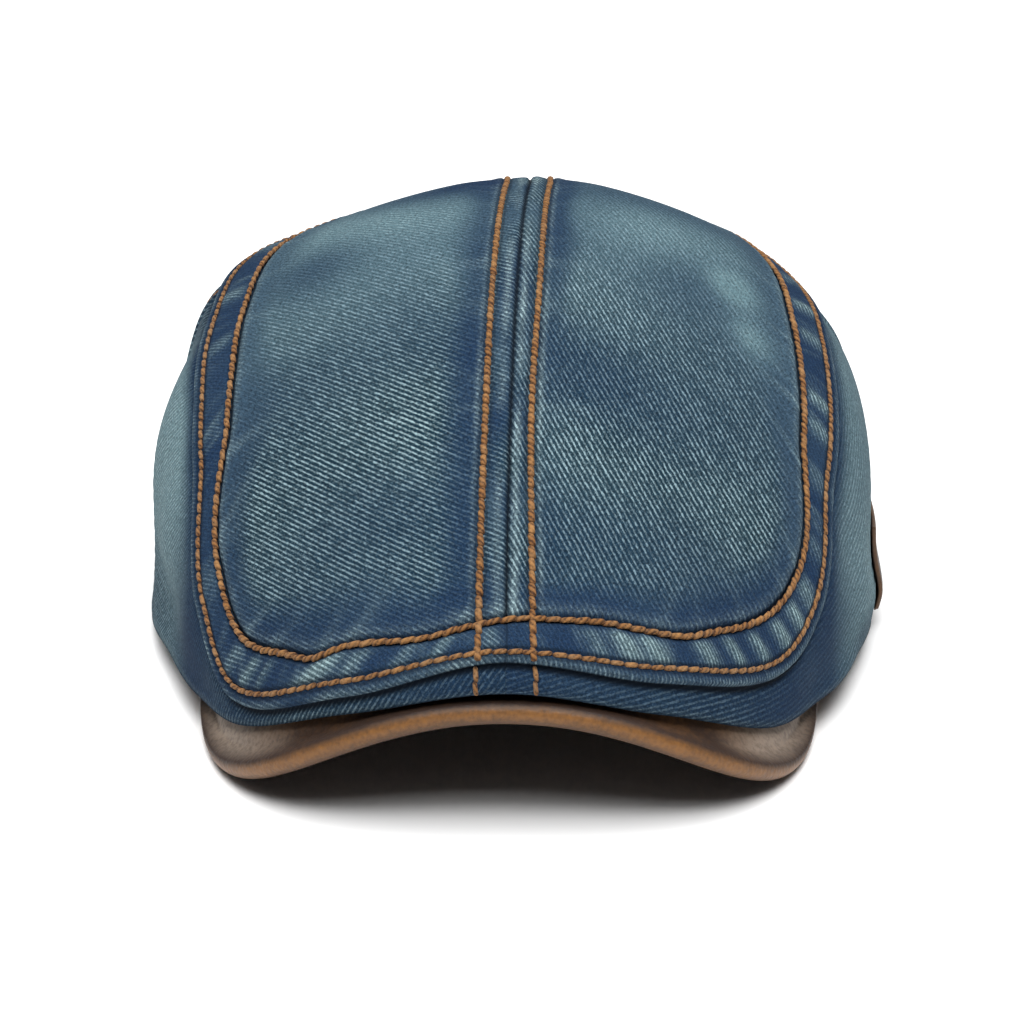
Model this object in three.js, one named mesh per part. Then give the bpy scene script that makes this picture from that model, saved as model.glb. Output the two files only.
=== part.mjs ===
// A denim flat cap with a leather peak, pieced as it is sewn. Two top panels meet in a centre
// seam and are framed by a narrow band, whose folded lower edge laps over the side panels. The
// side panels run forward round the corners and meet on top of the peak, and two back panels
// close the cap behind the side seams.
// Millimetres. The cap faces -Y, +Z is up, +X is the wearer's left and z = 0 is the table.
import * as THREE from "three";
import { mergeVertices } from "three/addons/utils/BufferGeometryUtils.js";

// Cloth and seams
const CLOTH = 1.8;
const GAP = 0.3;
const LAP = 3;
const FOLD_RISE = 1.5;
const FOLD_ROUND = 0.4;
const SIDE_SEAM = 117;

// Crown. Upright sections stand round the line x = 0, y = CENTRE_Y and share one top point, where
// the cloth rises backwards by TILT and bends by these amounts for each millimetre.
const TOP_Z = 101;
const CENTRE_Y = 12;
const TILT = 0.13;
const BEND_ALONG = 0.0052;
const BEND_ACROSS = 0.0095;
// The soft top has slid sideways, most along the centre seam, towards the back and high up.
const SLIDE = 4.5;
const SLIDE_FROM_Y = -125;
const SLIDE_FULL_Y = 60;
const SLIDE_FULL_Z = 80;
const HALF_WIDTH = 95;

// One row for each section, at its azimuth in degrees from the front.
// reach, reachZ   how far out the section stands at its widest, and how high that is
// side            how much of the height above its reach leads the section upright
// edgeZ, lean     height of the band's folded edge, and how much higher it is on the right side
// band            width of the band
// hem, hemZ       how far out the hem stands, and how high it is
const CROWN_COLUMNS = ["azimuth", "reach", "reachZ", "side", "edgeZ", "lean", "band", "hem", "hemZ"];
const CROWN_ROWS = [
  [0, 142, 39, 0.23, 43.5, 0, 11.5, 140.5, 36],
  [15, 139.4, 31, 0.26, 34, -1.5, 12.8, 139, 28],
  [30, 126.4, 17, 0.29, 22.3, -3, 14.2, 125.8, 13.2],
  [42, 113, 18, 0.35, 29.5, 0, 13.2, 113, 9.4],
  [60, 100.2, 25, 0.44, 51.3, 1.6, 14.3, 101, 8],
  [90, 93.8, 36, 0.68, 69.4, 1, 13.7, 94, 1.5],
  [125, 102.7, 41, 0.76, 76.1, 1.4, 13, 96.5, 0],
  [155, 114.5, 36.5, 0.6, 74.9, 1.5, 14, 105.5, 0],
  [180, 119, 37, 0.65, 72, 0, 13, 108, 0],
];

// Soft folds and bulges of the cloth, pushed in where the depth is below zero. They fade out
// towards the hem, below FOLD_FULL_Z.
const FOLD_FULL_Z = 12;
const FOLDS = [
  { azimuth: -122, z: 74, halfAngle: 14, halfHeight: 10, depth: 1.8 },
  { azimuth: -104, z: 54, halfAngle: 9, halfHeight: 15, depth: -3.6 },
  { azimuth: -92, z: 18, halfAngle: 12, halfHeight: 10, depth: -1 },
  { azimuth: -74, z: 40, halfAngle: 8, halfHeight: 22, depth: -1.4 },
  { azimuth: -62, z: 20, halfAngle: 10, halfHeight: 10, depth: -2.6 },
  { azimuth: -54, z: 32, halfAngle: 6, halfHeight: 14, depth: -1 },
  { azimuth: 50, z: 8, halfAngle: 9, halfHeight: 8, depth: 2 },
  { azimuth: 58, z: 34, halfAngle: 6, halfHeight: 14, depth: -1 },
  { azimuth: 62, z: 20, halfAngle: 10, halfHeight: 10, depth: 2.6 },
  { azimuth: 80, z: 10, halfAngle: 15, halfHeight: 8, depth: 2 },
  { azimuth: 122, z: 74, halfAngle: 14, halfHeight: 10, depth: -2.6 },
  { azimuth: 150, z: 46, halfAngle: 12, halfHeight: 18, depth: -1.6 },
  { azimuth: -146, z: 44, halfAngle: 12, halfHeight: 18, depth: -1.6 },
];

// Peak. Its middle surface is an arch across, rising towards the forehead.
const PEAK = { tipY: -131, half: 77, length: 95, corner: 3, tipZ: 30.5, slope: 0.35 };
const ARCH = { drop: 36, atX: 64, power: 2.2 };
const FOREHEAD = { half: 67, y: -79, endY: -37 };
const ROLL_RADIUS = 2.8;
const ROLL_BLEND = 4;
const PLATE_HALF = 1.5;

// Leather patch sewn on the wearer's left side
const PATCH = { from: 77.5, to: 104.5, aboveHem: 2, tall: 23, thick: 1.5 };

// How finely the surfaces are cut
const AZIMUTH_STEP = 5;
const TOP_ROWS = 8;
const WALL_ROWS = 7;
const PEAK_STEP = 4;
const PLATE_ROWS = 3;
const ROLL_STEPS = 7;
const PATCH_ROWS = 3;
const SECTION_STEPS = 300;
const SLOPE_STEP = 0.5;
// Half a gap, as an angle at the side seams
const SEAM_HALF_ANGLE = 0.1;

const radians = THREE.MathUtils.degToRad;

// A column of the crown's table at any azimuth: a smooth curve through its rows, which runs on
// evenly past the front and the back.
function crownSize(name, azimuth) {
  const k = CROWN_COLUMNS.indexOf(name);
  const rows = CROWN_ROWS.map((row) => [row[0], row[k]]);
  const last = rows.length - 1;
  const before = [-rows[1][0], rows[1][1]];
  const after = [360 - rows[last - 1][0], rows[last - 1][1]];
  const all = [before, ...rows, after];
  const x = Math.min(Math.abs(azimuth), 360 - Math.abs(azimuth));
  let i = 1;
  while (i < rows.length - 1 && all[i + 1][0] <= x) i += 1;
  const [p, q, r, s] = all.slice(i - 1, i + 3);
  const width = r[0] - q[0];
  const t = (x - q[0]) / width;
  const leave = ((r[1] - p[1]) / (r[0] - p[0])) * width;
  const arrive = ((s[1] - q[1]) / (s[0] - q[0])) * width;
  return (
    (2 * t ** 3 - 3 * t ** 2 + 1) * q[1] +
    (t ** 3 - 2 * t ** 2 + t) * leave +
    (3 * t ** 2 - 2 * t ** 3) * r[1] +
    (t ** 3 - t ** 2) * arrive
  );
}

// The sum of the folds at a point of the wall: rounded bumps that fade out at their edges.
function foldDepth(azimuth, z) {
  let depth = 0;
  for (const fold of FOLDS) {
    const across = (azimuth - fold.azimuth) / fold.halfAngle;
    const up = (z - fold.z) / fold.halfHeight;
    depth += fold.depth * Math.exp(-across * across - up * up);
  }
  return depth * THREE.MathUtils.smoothstep(z, 0, FOLD_FULL_Z);
}

// One upright section, as points [out from the centre line, height] with the way along it.
// It is a cubic curve from the top to the reach and a quadratic one from there to the hem.
class Section {
  constructor(azimuth) {
    const size = (name) => crownSize(name, azimuth);
    const reach = size("reach");
    const reachZ = size("reachZ");
    const hemZ = Math.max(0, size("hemZ"));
    // The second control point lies as far out as gives the top its bend.
    const turn = radians(azimuth);
    const fall = TILT * Math.cos(turn);
    const bend = BEND_ALONG * Math.cos(turn) ** 2 + BEND_ACROSS * Math.sin(turn) ** 2;
    const sideZ = reachZ + size("side") * (TOP_Z - reachZ);
    const level = Math.sqrt((2 * (TOP_Z - sideZ - fall * reach)) / (3 * bend));
    const top = new THREE.CubicBezierCurve(
      new THREE.Vector2(0, TOP_Z),
      new THREE.Vector2(level, TOP_Z - fall * level),
      new THREE.Vector2(reach, sideZ),
      new THREE.Vector2(reach, reachZ),
    );
    const wall = new THREE.QuadraticBezierCurve(
      new THREE.Vector2(reach, reachZ),
      new THREE.Vector2(reach, (reachZ + hemZ) / 2),
      new THREE.Vector2(size("hem"), hemZ),
    );
    this.points = [...top.getPoints(SECTION_STEPS), ...wall.getPoints(SECTION_STEPS).slice(1)];
    this.way = [0];
    for (let i = 1; i < this.points.length; i += 1) {
      this.way.push(this.way[i - 1] + this.points[i].distanceTo(this.points[i - 1]));
    }
    this.hem = this.way[this.way.length - 1];
    this.edge = this.wayAtHeight(size("edgeZ") - Math.sign(azimuth) * size("lean"));
    this.seam = this.edge - size("band");
  }

  wayAtHeight(z) {
    const i = this.points.findIndex((point) => point.y <= z);
    const [above, below] = [this.points[i - 1], this.points[i]];
    const part = (above.y - z) / (above.y - below.y);
    return THREE.MathUtils.lerp(this.way[i - 1], this.way[i], part);
  }

  at(way) {
    const last = this.way.length - 2;
    let i = this.way.findIndex((value) => value > way) - 1;
    if (i < 0) i = last;
    const part = (way - this.way[i]) / (this.way[i + 1] - this.way[i]);
    return new THREE.Vector2().lerpVectors(this.points[i], this.points[i + 1], part);
  }
}

const sections = new Map();
function section(azimuth) {
  if (!sections.has(azimuth)) sections.set(azimuth, new Section(azimuth));
  return sections.get(azimuth);
}

// The slide of the soft top: nothing in front, at the sides and at the hem, most at the top
// of the centre seam.
function slide(x, y, z) {
  const back = THREE.MathUtils.clamp((y - SLIDE_FROM_Y) / (SLIDE_FULL_Y - SLIDE_FROM_Y), 0, 1);
  const middle = 1 - Math.min(1, (x / HALF_WIDTH) ** 2);
  return SLIDE * back ** 2 * middle ** 2 * THREE.MathUtils.smoothstep(z, 0, SLIDE_FULL_Z);
}

// A point of the crown's outer surface, at a way along the section of an azimuth.
function crownPoint(azimuth, way) {
  const flat = section(azimuth).at(way);
  const out = flat.x + foldDepth(azimuth, flat.y) * Math.min(1, flat.x / HALF_WIDTH);
  const x = out * Math.sin(radians(azimuth));
  const y = CENTRE_Y - out * Math.cos(radians(azimuth));
  return new THREE.Vector3(x + slide(x, y, flat.y), y, flat.y);
}

// The same point moved outwards by a rise. A section's way is scaled to its neighbours' so that
// the two slopes which give the normal follow the cloth.
function crownRaised(azimuth, way, rise) {
  const point = crownPoint(azimuth, way);
  if (way < SLOPE_STEP) return point.addScaledVector(new THREE.Vector3(0, -TILT, 1).normalize(), rise);
  const here = section(azimuth);
  const sideways = (angle) => crownPoint(angle, (way / here.hem) * section(angle).hem);
  const round = sideways(azimuth + SLOPE_STEP).sub(sideways(azimuth - SLOPE_STEP));
  const below = Math.min(way + SLOPE_STEP, here.hem);
  const down = crownPoint(azimuth, below).sub(crownPoint(azimuth, way - SLOPE_STEP));
  return point.addScaledVector(down.cross(round).normalize(), rise);
}

// Keeps a point half a gap off the centre plane, on its own side.
function keepToSide(point, side) {
  const middle = slide(0, point.y, point.z);
  if (side * (point.x - middle) < GAP / 2) point.x = middle + (side * GAP) / 2;
  return point;
}

// A closed solid through rings of points in the same order. Rings that come round to the first
// need no ends; otherwise each end is closed across, from the ring's front half to its back half.
function solidThrough(rings, comesRound) {
  const count = rings[0].length;
  const corner = (ring, k) => ring * count + (k % count);
  const faces = [];
  const quad = (a, b, c, d) => faces.push([a, b, c], [a, c, d]);
  const spans = comesRound ? rings.length : rings.length - 1;
  for (let ring = 0; ring < spans; ring += 1) {
    const next = (ring + 1) % rings.length;
    for (let k = 0; k < count; k += 1) {
      quad(corner(ring, k), corner(next, k), corner(next, k + 1), corner(ring, k + 1));
    }
  }
  if (!comesRound) {
    const last = rings.length - 1;
    for (let k = 0; k < count / 2 - 1; k += 1) {
      const across = count - 1 - k;
      quad(corner(0, k), corner(0, k + 1), corner(0, across - 1), corner(0, across));
      quad(corner(last, k), corner(last, across), corner(last, across - 1), corner(last, k + 1));
    }
  }
  return closedGeometry(rings.flat(), faces);
}

// Merges equal points, drops the faces that this empties, and turns all faces outwards.
function closedGeometry(points, faces) {
  const raw = new THREE.BufferGeometry();
  raw.setFromPoints(points);
  raw.setIndex(faces.flat());
  const merged = mergeVertices(raw, 1e-3);
  const index = merged.index.array;
  const kept = [];
  let volume = 0;
  const [a, b, c] = [new THREE.Vector3(), new THREE.Vector3(), new THREE.Vector3()];
  for (let i = 0; i < index.length; i += 3) {
    const [p, q, r] = index.slice(i, i + 3);
    if (p !== q && q !== r && r !== p) {
      kept.push([p, q, r]);
      a.fromBufferAttribute(merged.attributes.position, p);
      b.fromBufferAttribute(merged.attributes.position, q);
      c.fromBufferAttribute(merged.attributes.position, r);
      volume += a.dot(b.cross(c));
    }
  }
  merged.setIndex(kept.map((face) => (volume < 0 ? face.reverse() : face)).flat());
  merged.computeVertexNormals();
  return merged;
}

const evenly = (from, to, count) =>
  Array.from({ length: count + 1 }, (_, i) => from + ((to - from) * i) / count);

const azimuthsBetween = (from, to) => evenly(from, to, Math.round(Math.abs(to - from) / AZIMUTH_STEP));

// A ring round the cut edge of one wall, down its outer face and back up its inner one. At the
// hem both faces end level, so that the wall stands flat.
function wallRing(azimuth, ways, side) {
  const hem = section(azimuth).hem;
  const outer = ways.map((way) => crownRaised(azimuth, way, 0));
  const inner = ways.map((way) => crownRaised(azimuth, way, -CLOTH));
  if (ways[ways.length - 1] === hem) {
    const inward = new THREE.Vector3(-Math.sin(radians(azimuth)), Math.cos(radians(azimuth)), 0);
    inner[inner.length - 1] = outer[outer.length - 1].clone().addScaledVector(inward, CLOTH);
  }
  return [...outer, ...inner.reverse()].map((point) => keepToSide(point, side));
}

// Half of the top: from the centre seam to the band, front to back.
function topPanel(side) {
  const rings = azimuthsBetween(0, 180).map((azimuth) => {
    const ways = evenly(0, section(side * azimuth).seam - GAP / 2, TOP_ROWS);
    return wallRing(side * azimuth, ways, side);
  });
  return solidThrough(rings, false);
}

// The band: a strip all round the top panels. Its cross-section is given by ways from the seam
// and rises, and its lower edge is folded, stands proud and laps over the walls below.
function crownBand() {
  const azimuths = azimuthsBetween(-180, 180).slice(1);
  const rings = azimuths.map((azimuth) => {
    const { seam, edge } = section(azimuth);
    const width = edge - seam;
    const outline = [
      [GAP, 0],
      [width / 2, FOLD_RISE / 3],
      [width - LAP, FOLD_RISE],
      [width - FOLD_ROUND, FOLD_RISE],
      [width, FOLD_RISE - FOLD_ROUND],
      [width, GAP],
      [width - LAP, GAP],
      [width - LAP, -CLOTH],
      [width / 2, -CLOTH],
      [GAP, -CLOTH],
    ];
    return outline.map(([way, rise]) => crownRaised(azimuth, seam + way, rise));
  });
  return solidThrough(rings, true);
}

// A wall from under the band's lap to the hem, between two azimuths of one side.
function wallPanel(from, to, side) {
  const rings = azimuthsBetween(from, to).map((azimuth) => {
    const { edge, hem } = section(side * azimuth);
    return wallRing(side * azimuth, evenly(edge - LAP + GAP, hem, WALL_ROWS), side);
  });
  return solidThrough(rings, false);
}

// The peak's outline from above, drawn in by an inset: a squarish half oval, at an angle which
// runs from -90 at its right end through 0 at the tip to 90 at its left end.
function peakOutline(angle, inset) {
  const across = Math.sin(radians(angle));
  const along = Math.abs(Math.cos(radians(angle)));
  const x = (PEAK.half - inset) * Math.sign(across) * Math.abs(across) ** (2 / PEAK.corner);
  const y = PEAK.tipY + PEAK.length - (PEAK.length - inset) * along ** (2 / PEAK.corner);
  return new THREE.Vector2(x, y);
}

// The inner edge that lies on the forehead, a half ellipse at the same angles.
function foreheadEdge(angle) {
  const x = FOREHEAD.half * Math.sin(radians(angle));
  const y = FOREHEAD.endY + (FOREHEAD.y - FOREHEAD.endY) * Math.cos(radians(angle));
  return new THREE.Vector2(x, y);
}

// The peak's middle surface over a plan point, and its normal.
function peakMiddle(flat) {
  const z = PEAK.tipZ + PEAK.slope * (flat.y - PEAK.tipY);
  const drop = ARCH.drop * Math.abs(flat.x / ARCH.atX) ** ARCH.power;
  return new THREE.Vector3(flat.x, flat.y, z - drop);
}

function peakNormal(flat) {
  const fall = (ARCH.drop * ARCH.power * Math.abs(flat.x / ARCH.atX) ** (ARCH.power - 1)) / ARCH.atX;
  return new THREE.Vector3(fall * Math.sign(flat.x), -PEAK.slope, 1).normalize();
}

// The peak: a thin plate with a round rolled rim. Each cross-section runs from the forehead edge
// over the top to the rim, round the roll and back underneath.
function peak() {
  const rings = evenly(-90, 90, 180 / PEAK_STEP).map((angle) => {
    const rim = peakOutline(angle, ROLL_RADIUS);
    const inner = foreheadEdge(angle);
    const inward = inner.clone().sub(rim);
    const deep = inward.length();
    inward.normalize();
    const plate = evenly(deep, ROLL_BLEND, PLATE_ROWS).map((depth) => {
      const flat = rim.clone().addScaledVector(inward, depth);
      return [peakMiddle(flat), peakNormal(flat)];
    });
    const centre = peakMiddle(rim);
    const up = peakNormal(rim);
    const behind = peakMiddle(rim.clone().addScaledVector(inward, 1));
    const outward = centre.clone().sub(behind).normalize();
    const rolled = evenly(90, -90, ROLL_STEPS).map((turn) => {
      const point = centre.clone().addScaledVector(up, ROLL_RADIUS * Math.sin(radians(turn)));
      return point.addScaledVector(outward, ROLL_RADIUS * Math.cos(radians(turn)));
    });
    const face = (rise) => plate.map(([point, normal]) => point.clone().addScaledVector(normal, rise));
    return [...face(PLATE_HALF), ...rolled, ...face(-PLATE_HALF).reverse()];
  });
  return solidThrough(rings, false);
}

// The bare leather patch, lying on the side panel.
function sidePatch() {
  const rings = azimuthsBetween(PATCH.from, PATCH.to).map((azimuth) => {
    const low = section(azimuth).hem - PATCH.aboveHem;
    const ways = evenly(low - PATCH.tall, low, PATCH_ROWS);
    const outer = ways.map((way) => crownRaised(azimuth, way, GAP + PATCH.thick));
    const inner = ways.map((way) => crownRaised(azimuth, way, GAP));
    return [...outer, ...inner.reverse()];
  });
  return solidThrough(rings, false);
}

const denim = (color) => new THREE.MeshStandardMaterial({ color, roughness: 0.9, metalness: 0 });
const leather = (color) => new THREE.MeshStandardMaterial({ color, roughness: 0.45, metalness: 0 });

const TOP_DENIM = 0x3b5e76;
const BAND_DENIM = 0x2f4c6c;
const WALL_DENIM = 0x34557a;
const BACK_DENIM = 0x2c4a70;
const PEAK_LEATHER = 0x8a5a38;
const PATCH_LEATHER = 0x6b4429;

const cap = new THREE.Group();
function addPiece(name, geometry, material) {
  const mesh = new THREE.Mesh(geometry, material);
  mesh.name = name;
  cap.add(mesh);
}

for (const [word, side] of [["left", 1], ["right", -1]]) {
  addPiece(`top_panel_${word}`, topPanel(side), denim(TOP_DENIM));
  addPiece(`side_panel_${word}`, wallPanel(0, SIDE_SEAM - SEAM_HALF_ANGLE, side), denim(WALL_DENIM));
  addPiece(`back_panel_${word}`, wallPanel(SIDE_SEAM + SEAM_HALF_ANGLE, 180, side), denim(BACK_DENIM));
}
addPiece("crown_band", crownBand(), denim(BAND_DENIM));
addPiece("peak", peak(), leather(PEAK_LEATHER));
addPiece("side_patch", sidePatch(), leather(PATCH_LEATHER));

export default cap;
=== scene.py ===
"""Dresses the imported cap: twill denim, rolled leather peak, copper topstitching and a pale stage.

Lengths inside the shape functions are millimetres, as in the part's source. A mesh gets metres.
The cap faces -Y, +Z is up and +X is the wearer's left. An azimuth is in degrees from the front,
positive towards the wearer's left. A way is the length of cloth from the top, down a section.
"""

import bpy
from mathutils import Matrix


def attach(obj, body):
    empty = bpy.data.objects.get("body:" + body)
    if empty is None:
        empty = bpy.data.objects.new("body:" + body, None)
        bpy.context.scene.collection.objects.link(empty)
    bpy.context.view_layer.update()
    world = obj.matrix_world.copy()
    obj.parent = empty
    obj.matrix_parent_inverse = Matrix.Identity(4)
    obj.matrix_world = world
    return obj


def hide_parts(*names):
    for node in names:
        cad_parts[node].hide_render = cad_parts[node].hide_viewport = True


bl_info = {
    "name": "Denim Flat Cap",
    "version": (1, 0, 0),
    "blender": (4, 5, 0),
    "location": "View3D > Sidebar > Cap",
    "description": "Builds a stitched denim flat cap with a leather peak round its packed frame",
    "category": "Object",
}

import bpy
import numpy as np
from bpy.props import FloatProperty, FloatVectorProperty, IntProperty, PointerProperty
from mathutils import Vector

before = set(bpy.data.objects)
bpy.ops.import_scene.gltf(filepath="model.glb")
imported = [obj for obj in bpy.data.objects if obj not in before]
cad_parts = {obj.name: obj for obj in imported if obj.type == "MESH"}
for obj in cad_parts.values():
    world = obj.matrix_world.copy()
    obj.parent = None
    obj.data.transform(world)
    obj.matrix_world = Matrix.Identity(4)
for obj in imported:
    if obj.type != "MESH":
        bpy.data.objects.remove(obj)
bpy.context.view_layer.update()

MILLIMETRE = 0.001

# Cloth and seams
CLOTH = 1.8
GAP = 0.3
SEAM_GAP = 0.01
LAP = 3.0
FOLD_RISE = 1.5
SIDE_SEAM = 117.0
SIDE_SEAM_OUT = 98.0
SEAM_HALF_ANGLE = 0.1

# Crown
TOP_Z = 101.0
CENTRE_Y = 12.0
TILT = 0.13
BEND_ALONG = 0.0052
BEND_ACROSS = 0.0095
SLIDE = 4.5
SLIDE_FROM_Y = -125.0
SLIDE_FULL_Y = 60.0
SLIDE_FULL_Z = 80.0
HALF_WIDTH = 95.0

CROWN_COLUMNS = ("azimuth", "reach", "reachZ", "side", "edgeZ", "lean", "band", "hem", "hemZ")
CROWN_ROWS = np.array(
    [
        [0, 142, 39, 0.23, 43.5, 0, 11.5, 140.5, 36],
        [15, 139.4, 31, 0.26, 34, -1.5, 12.8, 139, 28],
        [30, 126.4, 17, 0.29, 22.3, -3, 14.2, 125.8, 13.2],
        [42, 113, 18, 0.35, 29.5, 0, 13.2, 113, 9.4],
        [60, 100.2, 25, 0.44, 51.3, 1.6, 14.3, 101, 8],
        [90, 93.8, 36, 0.68, 69.4, 1, 13.7, 94, 1.5],
        [125, 102.7, 41, 0.76, 76.1, 1.4, 13, 96.5, 0],
        [155, 114.5, 36.5, 0.6, 74.9, 1.5, 14, 105.5, 0],
        [180, 119, 37, 0.65, 72, 0, 13, 108, 0],
    ]
)

# Soft folds of the walls: azimuth, height, half angle, half height, depth
FOLD_FULL_Z = 12.0
FOLDS = (
    (-122, 74, 14, 10, 1.8),
    (-104, 54, 9, 15, -3.6),
    (-92, 18, 12, 10, -1),
    (-74, 40, 8, 22, -1.4),
    (-62, 20, 10, 10, -2.6),
    (-54, 32, 6, 14, -1),
    (50, 8, 9, 8, 2),
    (58, 34, 6, 14, -1),
    (62, 20, 10, 10, 2.6),
    (80, 10, 15, 8, 2),
    (122, 74, 14, 10, -2.6),
    (150, 46, 12, 18, -1.6),
    (-146, 44, 12, 18, -1.6),
)

# Peak
PEAK_TIP_Y = -131.0
PEAK_HALF = 77.0
PEAK_LENGTH = 95.0
PEAK_CORNER = 3.0
PEAK_TIP_Z = 30.5
PEAK_SLOPE = 0.35
ARCH_DROP = 36.0
ARCH_AT_X = 64.0
ARCH_POWER = 2.2
FOREHEAD_HALF = 67.0
FOREHEAD_Y = -79.0
FOREHEAD_END_Y = -37.0
ROLL_RADIUS = 2.8
ROLL_BLEND = 4.0
PLATE_HALF = 1.5
PEAK_RINGS = 301
PEAK_ROWS = 41
ROLL_ROWS = 37

# Patch
PATCH_FROM = 77.5
PATCH_TO = 104.5
PATCH_ABOVE_HEM = 2.0
PATCH_TALL = 23.0
PATCH_THICK = 1.1
PATCH_EDGE = 0.35
PATCH_ROUND = 0.8

SECTION_STEPS = 300
SLOPE_STEP = 0.5

# Small puckers are drawn this far both ways along a row from the front
PUCKER_RUN = 330.0

# Where the band's seam wanders down its section: azimuth, half angle and depth
SEAM_WANDER = ((-20, 3.2, 2.4), (-7.5, 4.5, 2.1), (-2, 3, 0.8), (9.5, 4, -1.2), (18.5, 3.5, 1.3))

# Rows of stitches, from the seams and edges that they follow
ROW_OFF = 6.3
ROW_PINCH = 1.3
OUTER_ROW_IN = 3.5
OUTER_ROW_NEARER = 1.2

# The marks that the cloth's finish reads
CLOTH_MARKS = ("fade", "bite", "worn", "shade")

# Rows down the walls: name, azimuth, points, clear of the fold and the hem, share of the outer
# row's thickness, seed, slant in degrees, and how proud they stand
WALL_ROWS = (
    ("thread_strip_", 2.75, 60, (0.1, 1.0), 0.9, 8, 4, 0.3),
    ("thread_side_seam_", SIDE_SEAM - 1.9, 200, (0.6, 1.5), 0.85, 12, 5, 0.05),
)
STITCH_RINGS = 8
STITCH_SIDES = 8

# The lay of the top's weave: the angle from which its lines are straight, and their least pace
LAY_RISE = np.radians(20.8)
LAY_LEAST = 0.65
WALL_WEAVE = 0.85

# Twill angles, first on the wearer's left and then on the right
BAND_LINES = (63.0, 42.0)
SIDE_LINES = (17.0, 55.0)
BACK_LINES = (-17.0, -50.0)
SIDES = (("left", 1), ("right", -1))

# Stage
FLOOR_HALF = 6.0
FLOOR_COLOUR = (0.955, 0.955, 0.955, 1)
SOFT_BOXES = (
    ("overhead", (0.0, -0.35, 2.4), (0, 0, 0), 2.6),
    ("front", (0.15, -1.35, 2.0), (0, 0, 0.04), 0.9),
)
CAMERA_ROUND = (0, 0, 0.045)
CAMERA_AIM = (0.0003, -0.0052, 0.0314)

# Puckers of the band: azimuth, half width in degrees, height, wear and slant
PUCKERS = (
    (-124, 3.0, 0.5, 0.4, 0.3),
    (-101, 2.5, 0.6, 0.5, -0.3),
    (-83, 2.0, 0.5, 0.3, 0.4),
    (-62, 2.0, 0.4, 0.2, 0.2),
    (-42, 1.6, 0.5, 0.2, -0.5),
    (-32, 1.0, 0.6, 0.45, -0.7),
    (-28.5, 0.9, 0.5, 0.7, -0.7),
    (-26, 0.7, 0.5, 0.4, -0.6),
    (-18.5, 1.9, 0.9, 1.1, -1.3),
    (-14.5, 1.0, 0.4, 0.5, -1.0),
    (-9.5, 0.8, 0.4, 0.4, -0.8),
    (-6, 0.8, 0.4, 0.55, -0.8),
    (-1.5, 0.8, 0.3, 0.4, 0.2),
    (8.5, 1.0, 0.3, 0.4, 0.6),
    (11.5, 1.2, 0.6, 0.9, 0.6),
    (14.5, 1.2, 0.6, 0.9, 0.6),
    (20.5, 1.0, 0.6, 0.8, 0.5),
    (24.5, 0.9, 0.7, 0.8, 0.5),
    (28.5, 0.9, 0.8, 0.7, 0.5),
    (33, 1.1, 0.9, 0.9, 0.5),
    (37, 1.0, 0.8, 0.9, 0.4),
    (41, 1.0, 0.6, 0.7, 0.3),
    (47, 1.5, 0.4, 0.2, 0.3),
    (56, 1.5, 0.4, 0.3, 0.2),
    (65, 1.6, 0.5, 0.6, 0.2),
    (71, 1.6, 0.5, 0.8, 0.2),
    (88, 2.0, 0.5, 0.6, 0.2),
    (99, 2.2, 0.5, 0.7, 0.2),
    (112, 2.5, 0.4, 0.4, -0.2),
    (134, 3.0, 0.5, 0.5, 0.3),
    (151, 3.0, 0.4, 0.3, -0.3),
    (169, 2.5, 0.5, 0.5, 0.3),
    (-171, 2.5, 0.4, 0.4, -0.3),
    (-150, 3.0, 0.5, 0.5, 0.3),
)


def smoothstep(low, high, value):
    """0 below low, 1 above high, and a cubic ease between them."""
    t = np.clip((value - low) / (high - low), 0, 1)
    return t * t * (3 - 2 * t)


def hump(value, middle, half):
    """A bell: 1 at the middle, and e to the minus 1 at half away from it."""
    return np.exp(-(((value - middle) / half) ** 2))


def unit(vectors):
    """Vectors of length 1 along the last axis."""
    return vectors / np.maximum(np.linalg.norm(vectors, axis=-1, keepdims=True), 1e-9)


def crown_size(name, azimuth):
    """A column of the crown's table at any azimuth. Between two rows it is the cubic whose end
    slopes are those of the chords over each row's neighbours, mirrored past front and back."""
    column = CROWN_ROWS[:, CROWN_COLUMNS.index(name)]
    at = np.concatenate([[-CROWN_ROWS[1, 0]], CROWN_ROWS[:, 0], [360 - CROWN_ROWS[-2, 0]]])
    value = np.concatenate([[column[1]], column, [column[-2]]])
    x = np.abs(azimuth)
    x = np.minimum(x, 360 - x)
    i = np.clip(np.searchsorted(at, x, side="right") - 1, 1, len(column) - 1)
    width = at[i + 1] - at[i]
    t = (x - at[i]) / width
    leave = (value[i + 1] - value[i - 1]) / (at[i + 1] - at[i - 1]) * width
    arrive = (value[i + 2] - value[i]) / (at[i + 2] - at[i]) * width
    return (
        (2 * t**3 - 3 * t**2 + 1) * value[i]
        + (t**3 - 2 * t**2 + t) * leave
        + (3 * t**2 - 2 * t**3) * value[i + 1]
        + (t**3 - t**2) * arrive
    )


def fold_depth(azimuth, z):
    """The sum of the soft folds: bells over azimuth and height, which fade out at the hem."""
    depth = 0.0
    for fold_azimuth, fold_z, half_angle, half_height, amount in FOLDS:
        depth = depth + amount * hump(azimuth, fold_azimuth, half_angle) * hump(z, fold_z, half_height)
    return depth * smoothstep(0, FOLD_FULL_Z, z)


def slide(x, y, z):
    """How far the soft top has slid sideways: most at the back, the middle and high up."""
    back = np.clip((y - SLIDE_FROM_Y) / (SLIDE_FULL_Y - SLIDE_FROM_Y), 0, 1)
    middle = 1 - np.minimum(1, (x / HALF_WIDTH) ** 2)
    return SLIDE * back**2 * middle**2 * smoothstep(0, SLIDE_FULL_Z, z)


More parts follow.
